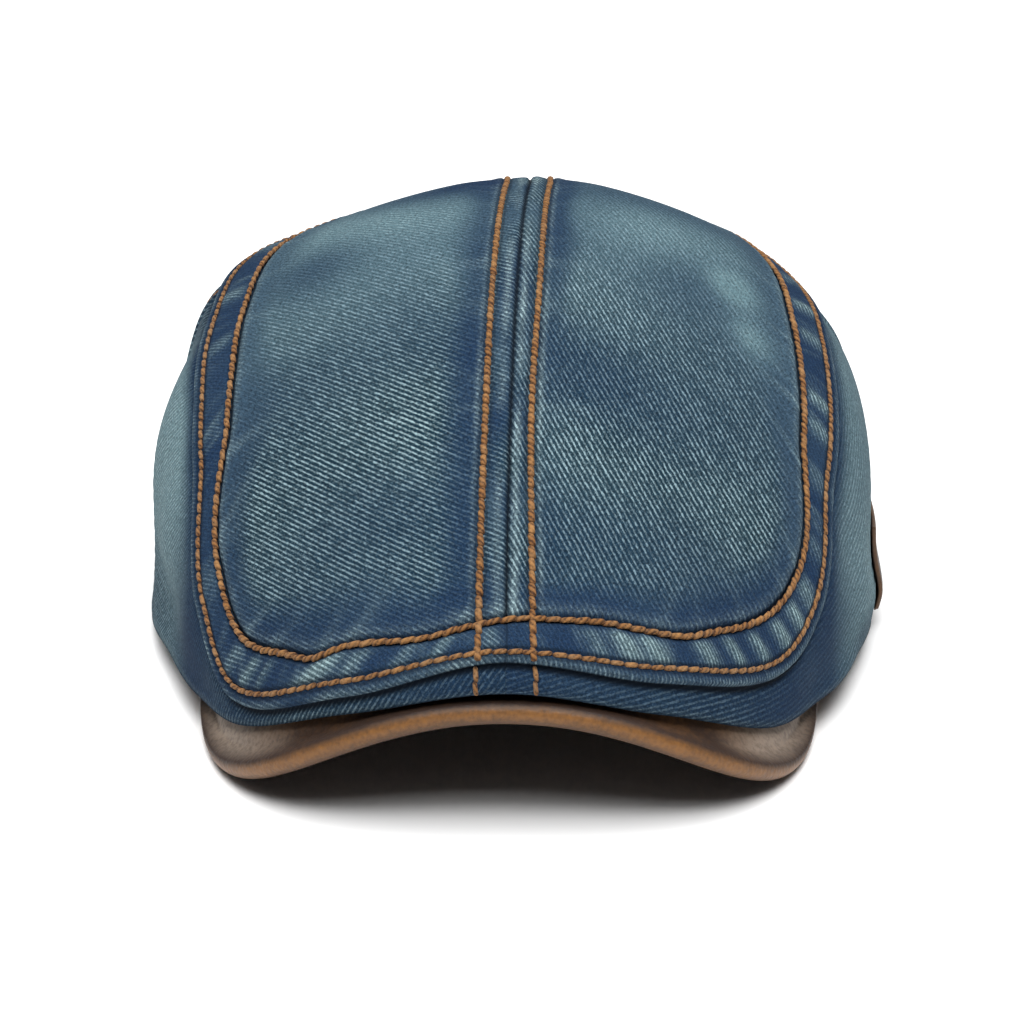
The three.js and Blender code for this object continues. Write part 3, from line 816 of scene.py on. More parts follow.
def wall_relief(crown, way, point):
    """The same for the side and back panels: tucked in under the fold, with a raised edge at the
    side seam, low ribs, a deep tuck behind the band's bend, and a turned hem."""
    run = crown.run[:, None]
    signed = crown.azimuth[:, None]
    azimuth = np.abs(signed)
    below = (way - crown.edge[:, None]) * crown.square[:, None]
    above_hem = crown.hem[:, None] - way
    z = point[..., 2]
    open_part = smoothstep(0.5, 5, below)
    fan = z * 1.9 + 1.6 * clouds(run, z, 51, 13) + run * 0.05
    ribbed = smoothstep(56, 70, azimuth) * (1 - smoothstep(100, 112, azimuth))
    ribs = np.sin(fan) * 0.16 * hump(z, 22, 16) * ribbed
    seam_off = (azimuth - SIDE_SEAM) * np.radians(1) * SIDE_SEAM_OUT
    lapped = 0.75 * smoothstep(-7.0, -5.5, seam_off) * (seam_off < 0)
    row_dip = -0.45 * hump(seam_off, -3.2, 0.9)
    behind = -0.5 * hump(seam_off, 0.8, 2.0) * (seam_off > 0)
    tuck = hump(signed, -106, 9) * hump(below, 3.5, 4)
    height = (
        -0.45 * hump(below, 0.6, 1.3)
        - 1.1 * tuck
        + open_part * (ribs + lapped + row_dip + behind)
        + open_part * 0.5 * clouds(run, z, 52, 15) * smoothstep(40, 60, azimuth)
        + 0.25 * hump(above_hem, 2.0, 1.6)
        + puckers(run, np.maximum(below, 0), 53, 8, 2.0, 0.35, 5.0) * smoothstep(2, 4, below)
    )
    # The walls are paler towards the sides: partly faded cloth and partly painted light, standing in
    # for light from the sides
    outer = smoothstep(42, 62, azimuth - 5 * (signed > 0) + 5 * clouds(z, run, 54, 14))
    outer = outer * smoothstep(1, 9, below)
    raised = np.clip(ribs, 0, 1)
    fade = 0.02 + 0.95 * outer * (0.9 + 0.2 * clouds(run, z, 55, 12)) + raised * 1.2 * outer
    low = 1 - smoothstep(4 + 10 * (signed < 0), 14 + 18 * (signed < 0), z + 4 * clouds(run, z, 58, 10))
    fade = fade - 0.45 * hump(seam_off, 2, 12) * (seam_off > -8) - 0.55 * low * outer
    # Painted shade: the wall is darkened high up on the wearer's right, behind the band's bend, and is
    # not worn there
    pocket_shade = hump(signed, -106, 16) * smoothstep(52, 66, z)
    fade = (fade - 0.8 * pocket_shade) * (1 - 0.3 * (signed > 0) * smoothstep(28, 44, z))
    front = 1 - smoothstep(24, 44, azimuth)
    lined = (0.42 - 0.22 * (signed > 0)) * front * (0.6 + 0.6 * clouds(run, z, 56, 8))
    bite = 0.15 + 0.4 * outer + lined + raised * outer
    worn = 0.18 * hump(above_hem, 1.0, 1.0) + 0.5 * hump(seam_off, -0.8, 0.8)
    # Part of this wear on the walls' outer parts is painted light from the sides
    worn = worn + 0.42 * outer * (0.8 + 0.3 * clouds(run, z, 57, 9)) * (1 - 0.8 * low) * (1 - pocket_shade)
    worn = worn * (1 - 0.5 * (signed > 0) * smoothstep(28, 44, z))
    shade = 0.95 * (1 - smoothstep(0.6, 2.2, below)) + 0.5 * hump(seam_off, 0.6, 0.7) + 0.85 * tuck
    shade = shade + 0.55 * (1 - smoothstep(0.1, 0.9, above_hem)) * (z > 3)
    return height, marks_of(way.shape, fade, bite, worn, shade)


def marks_of(shape, *values):
    """The cloth's marks over points of a shape."""
    return {key: np.broadcast_to(np.asarray(v, float), shape) for key, v in zip(CLOTH_MARKS, values)}


def cloth_piece(name, outer, inner, marks_outer, uv_outer, uv_inner, comes_round, materials):
    """A closed cloth piece from an outer and an inner face, whose rows run the same way."""
    inner, uv_inner = inner[:, ::-1], uv_inner[:, ::-1]
    points = np.concatenate([outer, inner], 1)
    rings, count = points.shape[:2]
    front = outer.shape[1]
    triangles = ring_triangles(rings, count, comes_round, front)
    behind = np.all(triangles % count >= front, axis=1)
    inside = marks_of(inner.shape[:2], 0.35, 0.5, 0.0, 0.0)
    marks = {key: np.concatenate([marks_outer[key], inside[key]], 1) for key in inside}
    uv = np.concatenate([uv_outer, uv_inner], 1).reshape(-1, 2)
    return make_mesh(name, points, triangles, materials, uv, marks, behind)


def ease_ends(count, strength):
    """Numbers from 0 to 1 that lie closer together near 0."""
    t = np.linspace(0, 1, count + 1)
    return t * (1 - strength) + strength * t * t


def seam_azimuths(count, fine_to, fine_count, last=180.0):
    """Azimuths from 0 to last, closer together beside the centre seam at both ends."""
    fine = ease_ends(fine_count, strength=0.6) * fine_to
    if last < 180:
        return np.concatenate([fine[:-1], np.linspace(fine_to, last, count)])
    return np.concatenate([fine[:-1], np.linspace(fine_to, 180 - fine_to, count), 180 - fine[-2::-1]])


def keep_to_side(points, side, ends=()):
    """Points moved, where need be, to half a gap off the centre line on their own side. The rings
    named as ends lie in the seam, and are set to just that."""
    middle = slide(0, points[..., 1], points[..., 2])
    kept = middle + side * np.maximum(side * (points[..., 0] - middle), SEAM_GAP / 2)
    for end in ends:
        kept[end] = middle[end] + side * SEAM_GAP / 2
    return np.concatenate([kept[..., None], points[..., 1:]], -1)


def build_top(word, side, materials, lines_at):
    """Half of the top: rows of ways from the top to the band's seam, at azimuths round one side."""
    azimuth = side * seam_azimuths(250, fine_to=6.0, fine_count=26)
    crown = Crown(azimuth)
    share = ease_ends(120, strength=0.35)[None, :]
    share = np.concatenate([share * 0.985, 0.985 + 0.015 * np.linspace(0, 1, 7)[None, 1:]], 1)
    way = share * (crown.seam - GAP / 2)[:, None]
    point, normal = crown.face(way)
    height, marks = top_relief(crown, way, point)
    outer = keep_to_side(point + normal * height[..., None], side, (0, -1))
    inner_way = np.linspace(0, 1, 31)[None, :] * (crown.seam - GAP / 2)[:, None]
    inner_point, inner_normal = crown.face(inner_way)
    off = inner_point[..., 0] - slide(0, inner_point[..., 1], inner_point[..., 2])
    sunk = CLOTH + 0.6 * hump(off, 0, 1.5)
    inner = keep_to_side(inner_point - inner_normal * sunk[..., None], side, (0, -1))
    uv = turned(*lay_of_top(point), lines_at)
    uv_inner = turned(*lay_of_top(inner_point), lines_at)
    piece = cloth_piece("denim_top_" + word, outer, inner, marks, uv, uv_inner, False, materials)
    dress(piece, "denim_top", "top_panel_" + word)


def build_band(materials):
    """The band, all round: over its swell to the fold, round it, back under the lap and along the
    inner face."""
    half = seam_azimuths(560, fine_to=4.0, fine_count=10)
    azimuth = np.concatenate([-half[::-1], half[1:-1]])
    crown = Crown(azimuth)
    width = (crown.edge - crown.seam)[:, None]
    square = crown.square[:, None]
    share = np.concatenate([np.linspace(0, 0.86, 40), np.linspace(0.86, 1, 17)[1:]])[None, :]
    across = GAP + share * (width * square - GAP)
    height, marks = band_relief(crown, across)
    way = crown.seam[:, None] + across / square
    point, normal = crown.face(way)
    outer = point + normal * height[..., None]
    edge_across = width * square
    under = np.array([0.0, 0.35, 1.0])[None, :] * LAP
    under_way = crown.seam[:, None] + (edge_across - under) / square
    back = np.linspace(0, 1, 4)[None, :]
    back_way = crown.seam[:, None] + (edge_across - LAP) / square * (1 - back) + back * GAP / square
    under_point, under_normal = crown.face(under_way)
    under_face = under_point + under_normal * GAP
    back_point, back_normal = crown.face(back_way)
    back_face = back_point - back_normal * CLOTH
    inner = np.concatenate([under_face, back_face], 1)[:, ::-1]
    inner_way = np.concatenate([under_way, back_way], 1)[:, ::-1]
    turn = np.radians(azimuth)[:, None]
    lines_at = np.where(azimuth > 0, *BAND_LINES)[:, None]
    uv = turned(way * np.sin(turn), way * np.cos(turn), lines_at)
    uv_inner = turned(inner_way * np.sin(turn), inner_way * np.cos(turn), lines_at)
    piece = cloth_piece("denim_band", outer, inner, marks, uv, uv_inner, True, materials)
    dress(piece, "denim_band", "crown_band")


def build_wall(name, node, side, azimuths, rows, materials, lines_at):
    """A wall from under the band's lap to the hem, which ends level so that it stands flat."""
    azimuth = side * azimuths
    crown = Crown(azimuth)
    start = (crown.edge - LAP + GAP)[:, None]
    share = np.linspace(0, 1, rows + 1)[None, :]
    way = start + share * (crown.hem[:, None] - start)
    way[:, -1] = crown.hem
    point, normal = crown.face(way)
    height, marks = wall_relief(crown, way, point)
    height = height * smoothstep(0, 1.2, crown.hem[:, None] - way)
    outer = keep_to_side(point + normal * height[..., None], side)
    inner_share = np.linspace(0, 1, rows // 3 + 1)[None, :]
    inner_way = start + inner_share * (crown.hem[:, None] - start)
    inner_point, inner_normal = crown.face(inner_way)
    inner = inner_point - inner_normal * CLOTH
    turn = np.radians(azimuth)[:, None]
    inward = np.concatenate([-np.sin(turn), np.cos(turn), np.zeros_like(turn)], 1)
    inner[:, -1] = outer[:, -1] + inward * CLOTH
    inner = keep_to_side(inner, side)
    run = crown.run[:, None]
    uv = turned(np.broadcast_to(run, way.shape), -way, lines_at) * WALL_WEAVE
    uv_inner = turned(np.broadcast_to(run, inner_way.shape), -inner_way, lines_at) * WALL_WEAVE
    piece = cloth_piece(name, outer, inner, marks, uv, uv_inner, False, materials)
    dress(piece, "denim_wall", node)


def peak_outline(angle, inset):
    """The peak's outline from above, drawn in by an inset: a squarish half oval."""
    across = np.sin(np.radians(angle))
    along = np.abs(np.cos(np.radians(angle)))
    power = 2 / PEAK_CORNER
    x = (PEAK_HALF - inset) * np.sign(across) * np.abs(across) ** power
    y = PEAK_TIP_Y + PEAK_LENGTH - (PEAK_LENGTH - inset) * along**power
    return np.stack([x, y], -1)


def peak_middle(flat):
    """The peak's middle surface over plan points: it rises towards the forehead and drops to
    both sides with a power of the distance from the centre."""
    drop = ARCH_DROP * np.abs(flat[..., 0] / ARCH_AT_X) ** ARCH_POWER
    z = PEAK_TIP_Z + PEAK_SLOPE * (flat[..., 1] - PEAK_TIP_Y) - drop
    return np.concatenate([flat, z[..., None]], -1)


def peak_normal(flat):
    """The upward normal of the middle surface."""
    fall = ARCH_DROP * ARCH_POWER * np.abs(flat[..., 0] / ARCH_AT_X) ** (ARCH_POWER - 1) / ARCH_AT_X
    slope = np.full(fall.shape, -PEAK_SLOPE)
    return unit(np.stack([fall * np.sign(flat[..., 0]), slope, np.ones(fall.shape)], -1))


def build_peak(material):
    """The peak: a thin plate whose cross-sections run from the forehead edge over the top to the
    rim, round the roll and back underneath. The angles are spaced evenly along the rim."""
    fine = 90 * np.linspace(0, 1, 4001) ** 3
    fine = np.concatenate([fine[:-1] / 2, 90 - fine[::-1] / 2])
    fine = np.unique(np.concatenate([-fine, fine]))
    line = peak_outline(fine, ROLL_RADIUS)
    length = np.concatenate([[0], np.cumsum(np.linalg.norm(np.diff(line, axis=0), axis=1))])
    angle = np.interp(np.linspace(0, length[-1], PEAK_RINGS), length, fine)
    rim = peak_outline(angle, ROLL_RADIUS)
    forehead = np.stack(
        [
            FOREHEAD_HALF * np.sin(np.radians(angle)),
            FOREHEAD_END_Y + (FOREHEAD_Y - FOREHEAD_END_Y) * np.cos(np.radians(angle)),
        ],
        -1,
    )
    inward = forehead - rim
    deep = np.linalg.norm(inward, axis=-1, keepdims=True)
    inward = inward / deep
    share = np.linspace(0, 1, PEAK_ROWS)[None, :, None]
    depth = deep[:, :, None] * (1 - share) + ROLL_BLEND * share
    flat = rim[:, None] + inward[:, None] * depth
    middle, normal = peak_middle(flat), peak_normal(flat)
    centre, up = peak_middle(rim), peak_normal(rim)
    outward = unit(centre - peak_middle(rim + inward))
    turn = np.radians(np.linspace(90, -90, ROLL_ROWS))[None, :, None]
    along_rim = length[-1] * np.linspace(0, 1, PEAK_RINGS)[:, None]
    soft = 1 + 0.012 * clouds(along_rim, np.degrees(turn[..., 0]) * 0.2, 61, 9)
    rolled = centre[:, None] + ROLL_RADIUS * soft[..., None] * (
        up[:, None] * np.sin(turn) + outward[:, None] * np.cos(turn)
    )
    # The leather sinks beside the roll, where it is drawn tight round its core
    x, y = flat[..., 0], flat[..., 1]
    hollow = -0.45 * hump(depth[..., 0], ROLL_BLEND + 0.6, 1.3)
    dimple = 0.18 * clouds(x, y, 62, 7)
    top = middle + normal * (PLATE_HALF + hollow + dimple)[..., None]
    under = middle - normal * (PLATE_HALF + hollow + dimple)[..., None]
    points = np.concatenate([top, rolled, under[:, ::-1]], 1)
    rings, count = points.shape[:2]
    triangles = ring_triangles(rings, count, False, count // 2)
    # Rubbed copper and a painted highlight are strongest where the roll turns from facing up to
    # facing forwards; painted shade darkens the roll's lower half, its top beside the plate, and the
    # whole underside
    degrees = np.degrees(turn[0, :, 0])
    roll_tone_and_light = 0.42 + 0.5 * hump(degrees, 30, 42)
    roll_tone_and_light = np.where(degrees < 0, roll_tone_and_light - 0.2 * smoothstep(0, 60, -degrees), roll_tone_and_light)
    roll_tone_and_light = roll_tone_and_light - 0.45 * smoothstep(52, 85, degrees)
    streaks = 0.12 * clouds(x * 3, y * 3 + x, 63, 9)
    flat_top = 0.16 + 0.3 * hump(depth[..., 0], ROLL_BLEND + 5, 3.5) + streaks
    corner = smoothstep(46, 62, np.abs(x))
    burnish_and_painted_light = np.concatenate(
        [flat_top, np.broadcast_to(roll_tone_and_light, rolled.shape[:2]), np.full(under.shape[:2], 0.08)], 1
    )
    rubbed = np.concatenate(
        [
            corner * (0.85 + 0.25 * clouds(x * 4, y * 2 + x, 64, 9)),
            np.zeros(rolled.shape[:2]),
            np.zeros(under.shape[:2]),
        ],
        1,
    )
    marks = {"burnish_and_painted_light": burnish_and_painted_light, "rubbed": rubbed}
    piece = make_mesh("leather_peak", points, triangles, [material], None, marks)
    dress(piece, "leather_peak", "peak")


def build_patch(material):
    """The bare leather patch: a slab on the side panel with rounded edges, slightly cupped."""
    azimuth = np.linspace(PATCH_FROM, PATCH_TO, 91)
    crown = Crown(azimuth)
    low = (crown.hem - PATCH_ABOVE_HEM)[:, None]
    share = np.linspace(0, 1, 51)[None, :]
    way = low - PATCH_TALL * (1 - share)
    point, normal = crown.face(way)
    inside = np.minimum(azimuth - PATCH_FROM, PATCH_TO - azimuth)[:, None]
    sideways = inside * np.radians(1) * HALF_WIDTH
    upright = np.minimum(share, 1 - share) * PATCH_TALL
    edge = np.minimum(sideways, upright)
    rounded = np.sqrt(np.clip(1 - (1 - np.clip(edge / PATCH_ROUND, 0, 1)) ** 2, 0, 1))
    height = GAP + PATCH_EDGE + (PATCH_THICK - PATCH_EDGE) * rounded - 0.15 * hump(edge, 2.4, 0.7)
    outer = point + normal * height[..., None]
    inner = point + normal * GAP
    points = np.concatenate([outer, inner[:, ::-1]], 1)
    rings, count = points.shape[:2]
    triangles = ring_triangles(rings, count, False, outer.shape[1])
    mark = np.broadcast_to(0.15 + 0.35 * hump(edge, 0.5, 0.8), outer.shape[:2])
    burnish_and_painted_light = np.concatenate([mark, np.full(inner.shape[:2], 0.1)], 1)
    marks = {"burnish_and_painted_light": burnish_and_painted_light, "rubbed": np.zeros(points.shape[:2])}
    piece = make_mesh("leather_patch", points, triangles, [material], None, marks)
    dress(piece, "leather_patch", "side_patch")


def stitched(name, path, normal, material, length, thick, gap, seed, slant, worn=0.2, proud=0.3):
    """A row of stitches along a path, as one mesh. The path is cut into equal steps. Each stitch
    is a short cord: an oval tube that swells in its middle, dips into the cloth at its ends, and
    lies a few degrees off the row, so that each one starts beside the end of the last."""
    draw = np.random.default_rng(seed)
    run = np.concatenate([[0], np.cumsum(np.linalg.norm(np.diff(path, axis=0), axis=1))])
    count = max(1, int(round(run[-1] / length)))
    step = run[-1] / count
    along, around = STITCH_RINGS, STITCH_SIDES
    u = np.linspace(-1, 1, along)[None, :]
    size = draw.uniform(0.92, 1.08, (count, 1))
    reach = (step - gap) / 2 * draw.uniform(0.97, 1.05, (count, 1))
    centre = (np.arange(count) + 0.5)[:, None] * step + draw.uniform(-0.04, 0.04, (count, 1)) * step
    at = centre + u * reach
    place = np.stack([np.interp(at, run, path[:, i]) for i in range(3)], -1)
    up = unit(np.stack([np.interp(at, run, normal[:, i]) for i in range(3)], -1))
    tangent = unit(np.gradient(place, axis=1))
    sideways = unit(np.cross(up, tangent))
    lean = np.tan(np.radians(slant + draw.uniform(-3, 3, (count, 1)))) * u * reach
    swell = (0.82 + 0.18 * (1 - np.abs(u) ** 3)) * size
    swell = np.where(np.abs(u) > 0.99, 0.6 * size, swell)
    lift = thick * (proud - 0.22 * np.abs(u) ** 3)
    core = place + sideways * lean[..., None] + up * lift[..., None]
    turn = np.linspace(0, 2 * np.pi, around, endpoint=False)
    round_x = np.cos(turn)[None, None, :, None] * sideways[:, :, None] * 0.5
    round_y = np.sin(turn)[None, None, :, None] * up[:, :, None] * 0.42
    points = core[:, :, None] + (round_x + round_y) * (thick * swell)[..., None, None]
    # Tubes of rings, closed by a point at each end
    tips = np.stack([core[:, 0], core[:, -1]], 1)
    block = along * around + 2
    all_points = np.concatenate([points.reshape(count, -1, 3), tips], 1)
    tube = skin_triangles(along, around, along - 1)
    ring = np.arange(around)
    start = np.stack([ring, (ring + 1) % around, np.full(around, along * around)], -1)
    last = (along - 1) * around
    end = np.stack([last + (ring + 1) % around, last + ring, np.full(around, along * around + 1)], -1)
    one = np.concatenate([tube, start, end])
    triangles = (one[None] + (np.arange(count) * block)[:, None, None]).reshape(-1, 3)
    # The uv map's second axis goes on past 1 where a corner closes the round
    round_share = np.broadcast_to((turn / (2 * np.pi))[None, None, :], (count, along, around))
    along_mm = np.broadcast_to(at[..., None], round_share.shape)
    uv_points = np.concatenate(
        [
            np.stack([along_mm, round_share], -1).reshape(count, -1, 2),
            np.stack([at[:, [0, -1]], np.zeros((count, 2))], -1),
        ],
        1,
    ).reshape(-1, 2)
    uv = uv_points[triangles]
    high = uv[..., 1].max(1, keepdims=True)
    wraps = (high > 0.8) & (uv[..., 1] < 0.2)
    uv[..., 1] = np.where(wraps, uv[..., 1] + 1, uv[..., 1])
    tone = np.repeat(np.clip(worn + draw.uniform(-0.25, 0.25, count), 0, 1), block)
    dark = np.broadcast_to(0.85 * smoothstep(0.6, 0.95, np.abs(u)), (count, along))
    dark = np.concatenate([np.repeat(dark, around, 1), np.ones((count, 2))], 1)
    marks = {"worn": tone, "shade": dark.ravel()}
    piece = make_mesh(name, all_points.reshape(-1, 3), triangles, [material], uv, marks)
    dress(piece, "thread")


def row_on_band(crown, across):
    """Points and normals of a line on the band, at a width measured squarely from its seam."""
    height, _ = band_relief(crown, across)
    point, normal = crown.face(crown.seam[:, None] + across / crown.square[:, None])
    return (point + normal * height[..., None])[:, 0], normal[:, 0]


def centre_path(side, back):
    """Points and normals down one half of a centre row: over the top and then the band. The
    offset is carried squarely: the azimuth's tangent is the offset over how far out the seam is."""
    seam_at = Sections(np.array([180.0 if back else 0.0]))
    seam_way = np.linspace(0, float(seam_at.edge[0]) - GAP, 400)
    out = np.interp(seam_way, seam_at.way[0], seam_at.out[0])
    offset = row_offset(side, CENTRE_Y + (out if back else -out))
    turn = np.degrees(np.arctan2(offset, out))
    crown = Crown(side * (180 - turn if back else turn))
    way = (seam_way + np.hypot(out, offset) - out)[:, None]
    point, normal = crown.face(way)
    height, _ = top_relief(crown, way, point)
    across = (way - crown.seam[:, None]) * crown.square[:, None]
    band_height, _ = band_relief(crown, np.maximum(across, GAP))
    sewn = np.where(across > 0, np.maximum(band_height - 0.35, 0.15), np.maximum(height, -0.5))
    return (point + normal * sewn[..., None])[:, 0], normal[:, 0]


def wall_path(azimuth, count, below_fold, above_hem):
    """Points and normals of a line straight down a wall."""
    crown = Crown(np.full(count, azimuth))
    low, high = float(crown.hem[0]) - above_hem, float(crown.edge[0]) + below_fold
    way = np.linspace(high, low, count)[:, None]
    point, normal = crown.face(way)
    height, _ = wall_relief(crown, way, point)
    return (point + normal * height[..., None])[:, 0], normal[:, 0]


def length_setting(label, description, metres):
    return FloatProperty(name=label, description=description, default=metres, unit="LENGTH")


def number_setting(label, description, value):
    return FloatProperty(name=label, description=description, default=value)


def colour_setting(label, description, value):
    return FloatVectorProperty(name=label, description=description, default=value, subtype="COLOR")


def group_setting(kind, description):
    return PointerProperty(type=kind, name=kind.__name__[3:], description=description)


class CapCloth(bpy.types.PropertyGroup):
    twill_pitch: length_setting("Twill pitch", "Width from one twill line to the next", 0.00111)
    dash_length: length_setting("Dash length", "Length of one dash of weft in a twill line", 0.0013)
    weave_relief: length_setting("Weave relief", "Depth of the weave", 0.00025)
    navy: colour_setting("Navy", "Ground of the unfaded cloth", (0.0085, 0.024, 0.06))
    ink: colour_setting("Ink", "Ground between the strong twill lines", (0.005, 0.021, 0.034))
    faded: colour_setting("Faded", "Ground where the cloth is washed out", (0.095, 0.163, 0.188))
    blue_line: colour_setting("Blue line", "Twill lines of the unfaded cloth", (0.04, 0.085, 0.155))
    pale: colour_setting("Pale", "Twill lines where the cloth is washed out", (0.225, 0.32, 0.345))
    bare: colour_setting("Bare", "Worn edges and ridges", (0.30, 0.41, 0.425))
    # Dark of the random specks, and the colour of the painted shade in seams, grooves and under the
    # fold
    seam_dark: colour_setting("Seam dark", "Cloth deep in a seam", (0.002, 0.005, 0.010))
    # The inside faces' ground is painted shade: darker than the cloth's real wrong side, to darken the
    # inside of the cap
    wrong_dark: colour_setting("Wrong side", "Ground of the cloth's inner side", (0.025, 0.04, 0.06))


class CapThread(bpy.types.PropertyGroup):
    stitch: length_setting("Stitch", "Length of one stitch", 0.0034)
    centre_thick: length_setting("Centre thread", "Thickness of the centre rows", 0.0016)
    inner_thick: length_setting("Inner thread", "Thickness of the row in the band's seam", 0.00148)
    outer_thick: length_setting("Outer thread", "Thickness of the row along the fold", 0.00125)
    strand_relief: length_setting("Strand relief", "Depth between the twisted strands", 0.0002)
    copper: colour_setting("Copper", "Thread", (0.21, 0.09, 0.024))
    bright: colour_setting("Bright", "Thread's lit fibres", (0.36, 0.185, 0.065))
    shadow: colour_setting("Shadow", "Between the strands", (0.042, 0.016, 0.007))
    dull: colour_setting("Dull", "Rubbed thread", (0.20, 0.125, 0.07))


class CapLeather(bpy.types.PropertyGroup):
    grain_relief: length_setting("Grain relief", "Depth of the grain", 0.0003)
    # Shaded is painted shade on the flat faces and underside; copper is the rim's rubbed colour and
    # also a painted highlight on its crest
    shaded: colour_setting("Shaded", "Dark of the flat faces", (0.030, 0.017, 0.012))
    brown: colour_setting("Brown", "Body of the leather", (0.09, 0.044, 0.019))
    copper: colour_setting("Copper", "Burnished rim", (0.205, 0.09, 0.025))
    rubbed: colour_setting("Rubbed", "Rubbed grey corners", (0.27, 0.212, 0.166))


class CapStage(bpy.types.PropertyGroup):
    elevation: number_setting("Elevation", "Camera above the horizon, in degrees", 20.83)
    turn: number_setting("Turn", "Camera round to the wearer's left, in degrees", 0.54)
    distance: length_setting("Distance", "Camera from the cap", 0.95)
    lens: number_setting("Lens", "Focal length in millimetres on a 36 mm sensor", 129.3)
    key: number_setting("Key", "Power of the overhead soft box, in watts", 110.0)
    front: number_setting("Front", "Power of the front soft box, in watts", 18.0)
    zenith: number_setting("Zenith", "Strength of the light from straight above", 0.4)
    horizon: number_setting("Horizon", "Strength of the light from the sides", 0.05)


class CapSettings(bpy.types.PropertyGroup):
    cloth: group_setting(CapCloth, "Denim")
    thread: group_setting(CapThread, "Topstitching")
    leather: group_setting(CapLeather, "Peak and patch")
    stage: group_setting(CapStage, "Camera, light and floor")
    left_lines: number_setting("Left lines", "Twill angle of the wearer's left top panel", 61.0)
    right_lines: number_setting("Right lines", "Twill angle of the wearer's right top panel", 22.0)
    seed: IntProperty(name="Seed", description="Start of the stitches' small differences", default=7)


def denims(cloth):
    """The cloth's right side, and its wrong side on a ground painted dark as shade, made once and
    shared by all its pieces.
    """
    found = [bpy.data.materials.get(name) for name in ("twill_denim", "twill_denim_inside")]
    if None in found:
        right = denim_finish("twill_denim", cloth, cloth.navy)
        found = [right, denim_finish("twill_denim_inside", cloth, cloth.wrong_dark)]
    return found


class CAP_OT_top_panels(bpy.types.Operator):
    """Two top panels that meet in the centre seam"""

    bl_idname = "cap.top_panels"
    bl_label = "Top Panels"

    def execute(self, context):
        cap = context.scene.cap
        for (word, side), lines_at in zip(SIDES, (cap.left_lines, cap.right_lines)):
            build_top(word, side, denims(cap.cloth), lines_at)
        return {"FINISHED"}


class CAP_OT_band(bpy.types.Operator):
    """The folded band round the top"""

    bl_idname = "cap.band"
    bl_label = "Band"

    def execute(self, context):
        build_band(denims(context.scene.cap.cloth))
        return {"FINISHED"}


class CAP_OT_walls(bpy.types.Operator):
    """Side panels and back panels"""

    bl_idname = "cap.walls"
    bl_label = "Side and Back Panels"

    def execute(self, context):
        materials = denims(context.scene.cap.cloth)
        last = SIDE_SEAM - SEAM_HALF_ANGLE
        sides = seam_azimuths(420, fine_to=3.0, fine_count=8, last=last)
        backs = np.linspace(SIDE_SEAM + SEAM_HALF_ANGLE, 180, 150)
        walls = (("side", sides, 75, SIDE_LINES), ("back", backs, 90, BACK_LINES))
        for place, azimuths, rows, lines in walls:
            for (word, side), lines_at in zip(SIDES, lines):
                names = ("denim_%s_%s" % (place, word), "%s_panel_%s" % (place, word))
                build_wall(*names, side, azimuths, rows, materials, lines_at)
        return {"FINISHED"}


class CAP_OT_leather(bpy.types.Operator):
    """The rolled leather peak and the side patch"""

    bl_idname = "cap.leather"
    bl_label = "Peak and Patch"

    def execute(self, context):
        leather = context.scene.cap.leather
        build_peak(leather_finish("peak_leather", leather))
        build_patch(leather_finish("patch_leather", leather))
        return {"FINISHED"}


class CAP_OT_topstitching(bpy.types.Operator):
    """All the rows of copper topstitching"""

    bl_idname = "cap.topstitching"
    bl_label = "Topstitching"

    def execute(self, context):
        cap = context.scene.cap
        thread = cap.thread
        material = thread_finish("copper_thread", thread)
        stitch = thread.stitch / MILLIMETRE
        thicks = (thread.centre_thick, thread.inner_thick, thread.outer_thick)
        centre_thick, inner_thick, outer_thick = (thick / MILLIMETRE for thick in thicks)
        azimuth = np.linspace(-180, 180, 2401)
        crown = Crown(azimuth)
        path, normal = row_on_band(crown, np.full((len(azimuth), 1), 0.15))
        inner = (path + normal * 0.55, normal)
        look = {"gap": -0.5, "seed": cap.seed, "slant": 9}
        stitched("thread_inner_row", *inner, material, stitch, inner_thick, **look)
        outer = row_on_band(crown, outer_row(crown)[:, None])
        look = {"gap": -0.1, "seed": cap.seed + 1, "slant": 6, "worn": 0.45}
        stitched("thread_outer_row", *outer, material, stitch, outer_thick, **look)
        for word, side in SIDES:
            halves = (centre_path(side, False), centre_path(side, True))
            path, normal = (np.concatenate([front[::-1], back[1:]]) for front, back in zip(*halves))
            look = {"gap": -0.4, "seed": cap.seed + 3 + side, "slant": 5, "worn": 0.15}
            name = "thread_centre_" + word
            stitched(name, path, normal, material, stitch * 1.05, centre_thick, **look)
            for name, azimuth, count, ends, share, seed, slant, proud in WALL_ROWS:
                row = wall_path(side * azimuth, count, *ends)
                look = {"gap": 0.0, "seed": cap.seed + seed + side, "slant": slant, "worn": 0.7}
                stitched(name + word, *row, material, stitch, outer_thick * share, proud=proud, **look)
        return {"FINISHED"}


def soft_box(name, place, aim, size, power):
    """A square area light at a place, turned to face a point."""
    light = bpy.data.lights.new(name, "AREA")
    light.shape, light.size, light.energy = "SQUARE", size, power
    lamp = bpy.data.objects.new(name, light)
    lamp.location = place
    lamp.rotation_euler = (Vector(aim) - Vector(place)).to_track_quat("-Z", "Y").to_euler()
    bpy.context.scene.collection.objects.link(lamp)


